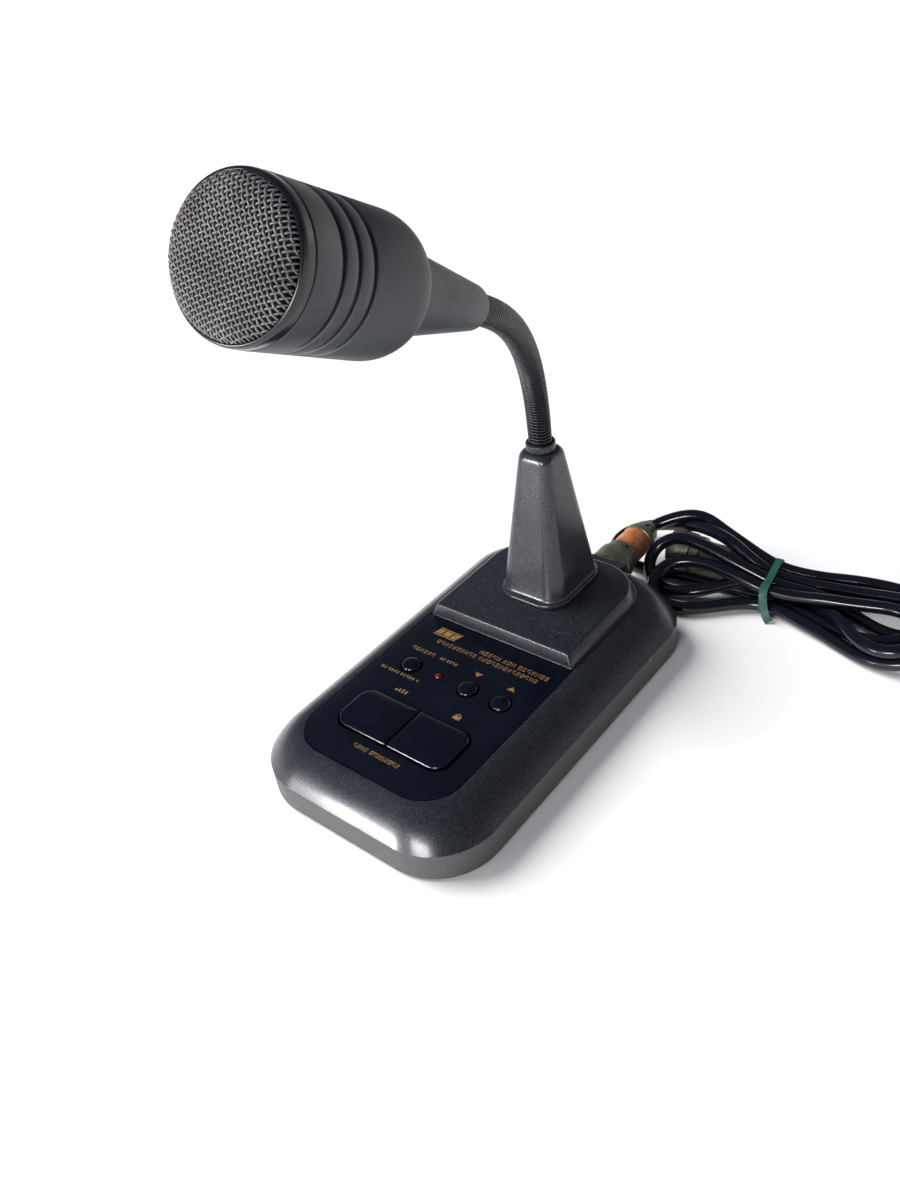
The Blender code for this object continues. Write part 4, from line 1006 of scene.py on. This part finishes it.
def marks():
    bm = bmesh.new()
    low, high = (DECK_Z + 0.005 * MM), (DECK_Z + 0.035 * MM)

    def flat(points):
        under = [bm.verts.new((x * MM, y * MM, low)) for x, y in points]
        over = [bm.verts.new((x * MM, y * MM, high)) for x, y in points]
        bm.faces.new(over)
        bm.faces.new(list(reversed(under)))
        for i in range(len(points)):
            j = (i + 1) % len(points)
            bm.faces.new((under[i], under[j], over[j], over[i]))

    def bar(x0, x1, y0, y1):
        flat([(x0, y0), (x1, y0), (x1, y1), (x0, y1)])

    def sign(kind, x, y, w, h, t=0.32):
        """One plain sign of thin strokes: uprights, bars, a frame, slants or a frame's two halves."""
        left, right, low_y, high_y = x, x + w, y - h / 2, y + h / 2
        if kind == 0:
            bar(left, left + t, low_y, high_y)
            bar(right - t, right, low_y, high_y)
        elif kind == 1:
            for z in (low_y, y - t / 2, high_y - t):
                bar(left, right, z, z + t)
        elif kind == 2:
            bar(left, right, low_y, low_y + t)
            bar(left, right, high_y - t, high_y)
            bar(left, left + t, low_y + t, high_y - t)
            bar(right - t, right, low_y + t, high_y - t)
        elif kind == 3:
            for x1 in (left, right - 2 * t):
                flat([(x1, low_y), (x1 + t, low_y), (x1 + 2 * t, high_y), (x1 + t, high_y)])
        else:
            bar(left, right, high_y - t, high_y)
            bar(left, left + t, y - t, high_y - t)
            bar(right - t, right, low_y, y)

    def row(x0, x1, y, height, kinds, gap=0.75):
        """A row of plain signs from x0 to about x1; None leaves a space."""
        x, i = x0, 0
        width = height * 0.66
        while x + width <= x1 + 0.1:
            kind = kinds[i % len(kinds)]
            if kind is not None:
                sign(kind, x, y, width, height)
                x += width + gap
            else:
                x += width * 0.7
            i += 1

    def ring_mark(x, y, radius, width, start=0, end=360):
        steps = 16
        for i in range(steps):
            a = math.radians(start + (end - start) * i / steps)
            b = math.radians(start + (end - start) * (i + 0.97) / steps)
            flat([
                (x + radius * math.cos(a), y + radius * math.sin(a)),
                (x + radius * math.cos(b), y + radius * math.sin(b)),
                (x + (radius - width) * math.cos(b), y + (radius - width) * math.sin(b)),
                (x + (radius - width) * math.cos(a), y + (radius - width) * math.sin(a)),
            ])

    # A slanted plaque with plain bars, in the panel's rear left corner.
    for y0, y1 in ((4.0, 4.5), (8.5, 9.0)):
        lean = (y0 - 4.0) * 0.28
        flat([(-28.5 + lean, y0), (-16.3 + lean, y0), (-16.2 + lean, y1), (-28.4 + lean, y1)])
    for x0, x1 in ((-28.0, -24.9), (-24.2, -20.6), (-19.9, -16.4)):
        flat([(x0, 5.0), (x1, 5.0), (x1 + 0.9, 8.1), (x0 + 0.9, 8.1)])
    row(-2, 34, 4.3, 2.3, (0, 2, 1, 4, 0, None, 3, 2, 0, None, 2, 1, 4, 3))
    row(-23, 31.5, 0.7, 2.2, (2, 4, 0, 1, 3, 2, 1, 0, 4, 1, None, 0, 3, 2, 4, 1, 0, 2, 3, 4, 1))
    row(-30, -18, -8, 2.1, (4, 2, 0, 1, 3))
    row(-14.5, -5, -8, 1.5, (2, 0, None, 3, 1, 4), 0.5)
    flat([(4.2, -7.2), (6.2, -9.6), (8.2, -7.2)])
    flat([(21.8, -9.4), (25.8, -9.4), (23.8, -7.0)])
    row(-33.8, -12.3, -24.7, 1.5, (2, 0, None, 4, 1, 3, 0, None, 2, 1, 4), 0.6)
    # Talk: rising bars. Hold: a padlock.
    bar(-18.6, -17.6, -33.9, -32.7)
    bar(-16.9, -15.9, -33.9, -32.0)
    bar(-15.2, -14.2, -33.9, -31.6)
    bar(-13.5, -12.5, -33.9, -32.0)
    bar(12.8, 16.4, -34.6, -32.6)
    ring_mark(14.6, -32.6, 1.3, 0.45, 0, 180)
    row(-11.4, 12.9, -66.9, 2.1, (4, 3, 0, 1, None, 2, 4, 0, 1, 3, 2), 0.55)
    return piece("panel_marks", bm, GOLD, "base")


marks()


# Keys, buttons and lamp.


def key(name, side, body, node):
    middle = (KEY_FRONT + KEY_REAR) / 2
    half = (KEY_REAR - KEY_FRONT) / 2

    def crown(x, y):
        across = max(0.0, 1 - ((y - middle) / half) ** 2)
        along = max(0.0, 1 - (abs(x) / KEY_W) ** 4)
        return DECK_Z + 0.9 * MM + 1.5 * MM * across + 0.7 * MM * along * across**0.5

    def edge(inset, drop=None, z=None):
        inner, outer = KEY_SPLIT + inset, KEY_W - inset
        rim = []
        for x, y, r, start in (
            (outer, KEY_FRONT + inset, 6 * MM - inset, -90),
            (outer, KEY_REAR - inset, 6 * MM - inset, 0),
            (inner, KEY_REAR - inset, max(0.7 * MM - inset * 0.5, 0.15 * MM), 90),
            (inner, KEY_FRONT + inset, max(0.7 * MM - inset * 0.5, 0.15 * MM), 180),
        ):
            cx = x - r if x == outer else x + r
            cy = y - r if start in (0, 90) else y + r
            for i in range(13):
                angle = math.radians(start + 90 * i / 12)
                px, py = cx + r * math.cos(angle), cy + r * math.sin(angle)
                height = z if z is not None else crown(px, py) - drop
                rim.append(Vector((side * px, py, height)))
        return rim

    rings = [edge(0, z=DECK_Z - 3 * MM), edge(0, z=DECK_Z - 0.2 * MM), edge(0, z=DECK_Z + 0.35 * MM)]
    for i in range(7):
        angle = math.radians(90 * i / 6)
        inset = 1.3 * MM * (1 - math.cos(angle)) + 0.02 * MM * (i + 1)
        rings.append(edge(inset, drop=0.75 * MM * (1 - math.sin(angle))))
    last = rings[-1]
    centre = Vector((side * (KEY_W + KEY_SPLIT) / 2, middle, 0))
    for share in (0.92, 0.84, 0.75, 0.66, 0.56, 0.46, 0.36, 0.26, 0.16, 0.07):
        ring = []
        for p in last:
            q = centre + (Vector((p.x, p.y, 0)) - centre) * share
            ring.append(Vector((q.x, q.y, crown(abs(q.x), q.y))))
        rings.append(ring)
    return piece(name, loft(rings), KEY, body, [node], sharp=60)


def button(name, x, body, node):
    profile = [(-1.6, 0), (-1.6, 4.3)]
    profile += curve_between((0.35, 4.3), (1.15, 4.15), (1.75, 3.05), 6)
    profile += curve_between((1.75, 3.05), (2.3, 1.6), (2.3, 0), 7)[1:]
    return piece(
        name, turned(in_mm(profile), 56), KEY, body, [node],
        Matrix.Translation((x, BUTTON_Y, DECK_Z)), sharp=50,
    )


key("talk_key_cap", -1, "ptt_key", "ptt_key")
key("hold_key_cap", 1, "lock_key", "lock_key")
button("power_cap", POWER_X, "power_button", "power_button")
button("down_cap", DOWN_X, "down_button", "down_button")
button("up_cap", UP_X, "up_button", "up_button")
lens = [(-4, 0), (-4, 1.45)] + curve_between((-0.2, 1.45), (1.05, 1.35), (1.05, 0), 8)
piece(
    "lamp_lens", turned(in_mm(lens), 40), LAMP, "base", ["on_air_lamp"],
    Matrix.Translation((LED_X, BUTTON_Y, DECK_Z)),
)


# Gooseneck: one wound tube in five lengths, split halfway between five pivot points.


def neck_point(t):
    a, b = NECK_START, NECK_START + Vector((0, 0, NECK_RISE))
    c, d = NECK_END - HEAD_DIR * NECK_RUN, NECK_END
    u = 1 - t
    point = a * u**3 + b * (3 * u * u * t) + c * (3 * u * t * t) + d * t**3
    slope = (b - a) * (3 * u * u) + (c - b) * (6 * u * t) + (d - c) * (3 * t * t)
    return point, slope.normalized()


def gooseneck():
    pitch, depth, step, sides = 1.6 * MM, 0.7 * MM, 0.12 * MM, 40
    samples = 800
    line = [(Vector((0, 56, 96)) * MM, Vector((0, 0, 1)))]
    line += [neck_point(i / samples) for i in range(samples + 1)]
    line.append((NECK_END + HEAD_DIR * 8 * MM, HEAD_DIR))
    run = [0.0]
    for (p, _), (q, _) in zip(line, line[1:]):
        run.append(run[-1] + (q - p).length)
    total = run[-1]
    count = int(total / step)
    arc = np.linspace(0, total, count + 1)
    columns = np.array([(*p, *d) for p, d in line])
    even = np.stack([np.interp(arc, run, columns[:, k]) for k in range(6)], axis=1)
    pivots = (0.09, 0.275, 0.46, 0.65, 0.865)
    at_pivot = [np.interp(t, np.linspace(0, 1, samples + 1), run[1:-1]) for t in pivots]
    splits = [0.0] + [(a + b) / 2 for a, b in zip(at_pivot, at_pivot[1:])] + [total]
    nodes = [["gooseneck_1"], ["gooseneck_2"], ["gooseneck_3"], ["gooseneck_4"]]
    nodes.append(["gooseneck_5", "gooseneck_6"])
    for k in range(5):
        first = int(splits[k] / total * count)
        last = int(splits[k + 1] / total * count)
        rings = []
        for i in range(first, last + 1):
            centre, along = Vector(even[i][:3]), Vector(even[i][3:]).normalized()
            across = along.cross(Vector((0.3, 0.9, 0.1))).normalized()
            other = along.cross(across)
            ring = []
            for j in range(sides):
                angle = 2 * math.pi * j / sides
                u = (arc[i] / pitch + j / sides) % 1.0
                r = NECK_R - depth * abs(2 * u - 1) ** 3.2
                ring.append(centre + (across * math.cos(angle) + other * math.sin(angle)) * r)
            rings.append(ring)
        made = piece(f"wound_tube_{k + 1}", loft(rings), NECK, None, nodes[k], sharp=70)
        point, along = neck_point(pivots[k])
        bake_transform(made)


gooseneck()


# Head.


# In millimetres along the head from its seat, and out from its middle line.
HEAD_R, CONE_END, SHOULDER_L, BARREL_END = 19, 50, 10.6, 103
GROOVES = (80.5, 86.8, 92.9)
GRILLE_AT, GRILLE_R, GRILLE_RISE = 105.5, 17.6, 6.1
GRILLE_TURN = 20


def dome_height(r):
    return GRILLE_AT + GRILLE_RISE * max(1 - (r / (GRILLE_R + 0.15)) ** 5, 0) ** 0.42


def head():
    seat = Matrix.Translation(NECK_END) @ HEAD_DIR.to_track_quat("Z", "Y").to_matrix().to_4x4()

    def round_piece(name, profile, look, node, sides=96, sharp=35):
        mesh = turned(in_mm(profile), sides)
        return piece(name, mesh, look, "head", node, seat, sharp)

    cone = rounded([(0, 5.4), (0, 6.4), (1.2, 7.1), (49.7, 12.7), (49.7, 10.5), (12, 6.2), (10, 5.4)], 0.5)
    round_piece("rear_cone", cone, HEAD, ["head_rear_cone"])
    outer = [(CONE_END, 10.5), (CONE_END, 13.0)]
    bulge_from = 13.3
    bulge = HEAD_R - bulge_from
    steps = 24
    for i in range(steps + 1):
        angle = math.radians(90 * i / steps)
        outer.append((CONE_END + SHOULDER_L * (1 - math.cos(angle)), bulge_from + bulge * math.sin(angle)))
    lip = ((1.12, HEAD_R), (1.0, 18.95), (0.92, 18.8), (0.85, 18.05))
    for place in GROOVES:
        outer += [(place - away, r) for away, r in lip]
        outer += [(place + away, r) for away, r in reversed(lip)]
    outer += [(102.7, HEAD_R), (BARREL_END, 18.8)]
    inner = [(BARREL_END, 16), (60.6, 16), (53.2, 10.5)]
    round_piece("barrel", outer + inner, HEAD, ["head_barrel"], sharp=30)
    ring = rounded([
        (103.3, 16.6), (103.3, 18.75), (103.5, 18.9), (106.0, 18.9),
        (107.3, 18.5), (107.5, 17.8), (104.5, 16.6),
    ], 0.6)
    round_piece("front_ring", ring, RIM, ["head_front_ring"])
    foam = [(101, 0), (101, 15.9), (106.2, 16.4)]
    foam += [(dome_height(r) - 1.1, r) for r in np.linspace(16.4, 0.8, 14)] + [(110.4, 0)]
    round_piece("foam_pad", foam, FOAM, ["foam_liner"], 64, 60)
    grille(seat)


def grille(seat):
    """The grille: woven wire over a shallow dome, its wires ending under the ring."""
    bm = bmesh.new()
    pitch, wire, sides = 1.2, 0.27, 6
    reach = int(GRILLE_R / pitch)
    for family in (0, 1):
        for k in range(-reach, reach + 1):
            off = k * pitch
            half = math.sqrt(max(GRILLE_R**2 - off**2, 0))
            if half < 2:
                continue
            steps = max(int(2 * half / (pitch / 6)), 8)
            rows = []
            centres = []
            for i in range(steps + 1):
                s = -half + 2 * half * i / steps
                wave = math.cos(math.pi * (s / pitch + k + family)) * wire * 0.85
                z = dome_height(min(math.hypot(s, off), GRILLE_R)) + wave - wire
                centres.append(Vector((s, off, z)) if family == 0 else Vector((off, s, z)))
            for i, c in enumerate(centres):
                along = (centres[min(i + 1, steps)] - centres[max(i - 1, 0)]).normalized()
                across = Vector((0, 1, 0)) if family == 0 else Vector((1, 0, 0))
                across = (across - along * across.dot(along)).normalized()
                other = along.cross(across)
                rows.append([
                    bm.verts.new((c + (across * math.cos(a) + other * math.sin(a)) * wire) * MM)
                    for a in [2 * math.pi * j / sides for j in range(sides)]
                ])
            skin(bm, rows)
    turn = seat @ Matrix.Rotation(math.radians(GRILLE_TURN), 4, "Z")
    piece("grille", bm, WIRE, "head", ["head_grille"], turn, 80)


head()


# Floor and light.


def floor():
    bm = bmesh.new()
    bmesh.ops.create_grid(bm, x_segments=1, y_segments=1, size=20)
    mesh = bpy.data.meshes.new("floor")
    bm.to_mesh(mesh)
    bm.free()
    f = Finish("floor", 0.8)
    f.set("Base Color", (0.83, 0.83, 0.83))
    f.set("Specular IOR Level", 0.1)
    mesh.materials.append(f.material)
    made = bpy.data.objects.new("floor", mesh)
    scene.collection.objects.link(made)


def area_light(name, at, towards, size_x, size_y, power):
    data = bpy.data.lights.new(name, "AREA")
    data.shape = "RECTANGLE"
    data.size, data.size_y = size_x, size_y
    data.energy = power
    made = bpy.data.objects.new(name, data)
    scene.collection.objects.link(made)
    made.location = at
    made.rotation_euler = (Vector(towards) - Vector(at)).to_track_quat("-Z", "Y").to_euler()


def direction(azimuth, elevation):
    """A unit vector from two angles in degrees."""
    a, e = math.radians(azimuth), math.radians(elevation)
    return math.cos(e) * math.cos(a), math.cos(e) * math.sin(a), math.sin(e)


def light():
    world = bpy.data.worlds.new("studio")
    scene.world = world
    world.use_nodes = True
    nodes, links = world.node_tree.nodes, world.node_tree.links
    way = nodes.new("ShaderNodeTexCoord")
    split = nodes.new("ShaderNodeSeparateXYZ")
    links.new(way.outputs["Generated"], split.inputs[0])
    ramp = nodes.new("ShaderNodeValToRGB")
    links.new(split.outputs["Z"], ramp.inputs["Fac"])
    stops = (
        (0.0, (0.52, 0.52, 0.52, 1)),
        (0.14, (0.38, 0.385, 0.395, 1)),
        (0.36, (0.075, 0.085, 0.105, 1)),
        (1.0, (0.10, 0.11, 0.13, 1)),
    )
    ramp.color_ramp.elements[0].position, ramp.color_ramp.elements[0].color = stops[0]
    ramp.color_ramp.elements[1].position, ramp.color_ramp.elements[1].color = stops[3]
    for place, colour in stops[1:3]:
        ramp.color_ramp.elements.new(place).color = colour
    # A soft glow towards the windows, about their middle direction.
    towards = nodes.new("ShaderNodeVectorMath")
    towards.operation = "DOT_PRODUCT"
    links.new(way.outputs["Generated"], towards.inputs[0])
    towards.inputs[1].default_value = direction(-108, 8)
    tight = nodes.new("ShaderNodeMath")
    tight.operation = "POWER"
    tight.use_clamp = True
    links.new(towards.outputs["Value"], tight.inputs[0])
    tight.inputs[1].default_value = 22
    glow = nodes.new("ShaderNodeMix")
    glow.data_type = "RGBA"
    links.new(tight.outputs[0], glow.inputs[0])
    links.new(ramp.outputs["Color"], glow.inputs[6])
    glow.inputs[7].default_value = (1.9, 1.95, 2.0, 1)
    links.new(glow.outputs[2], nodes["Background"].inputs["Color"])
    sun = bpy.data.lights.new("broad_light", "SUN")
    sun.energy, sun.angle = 5.6, math.radians(50)
    sun_object = bpy.data.objects.new("broad_light", sun)
    scene.collection.objects.link(sun_object)
    sun_object.rotation_euler = Vector((-0.76, -0.16, 0.63)).to_track_quat("Z", "Y").to_euler()
    sun_object.visible_glossy = False
    area_light("window_left", (-0.90, -1.76, 0.13), (0, -0.08, 0.02), 0.48, 0.24, 24)
    area_light("window_front", (0.38, -1.86, 0.60), (0.035, -0.088, 0.02), 0.75, 0.34, 27)
    scene.view_settings.view_transform = "Standard"
    scene.view_settings.look = "None"


floor()
light()

bpy.context.view_layer.update()
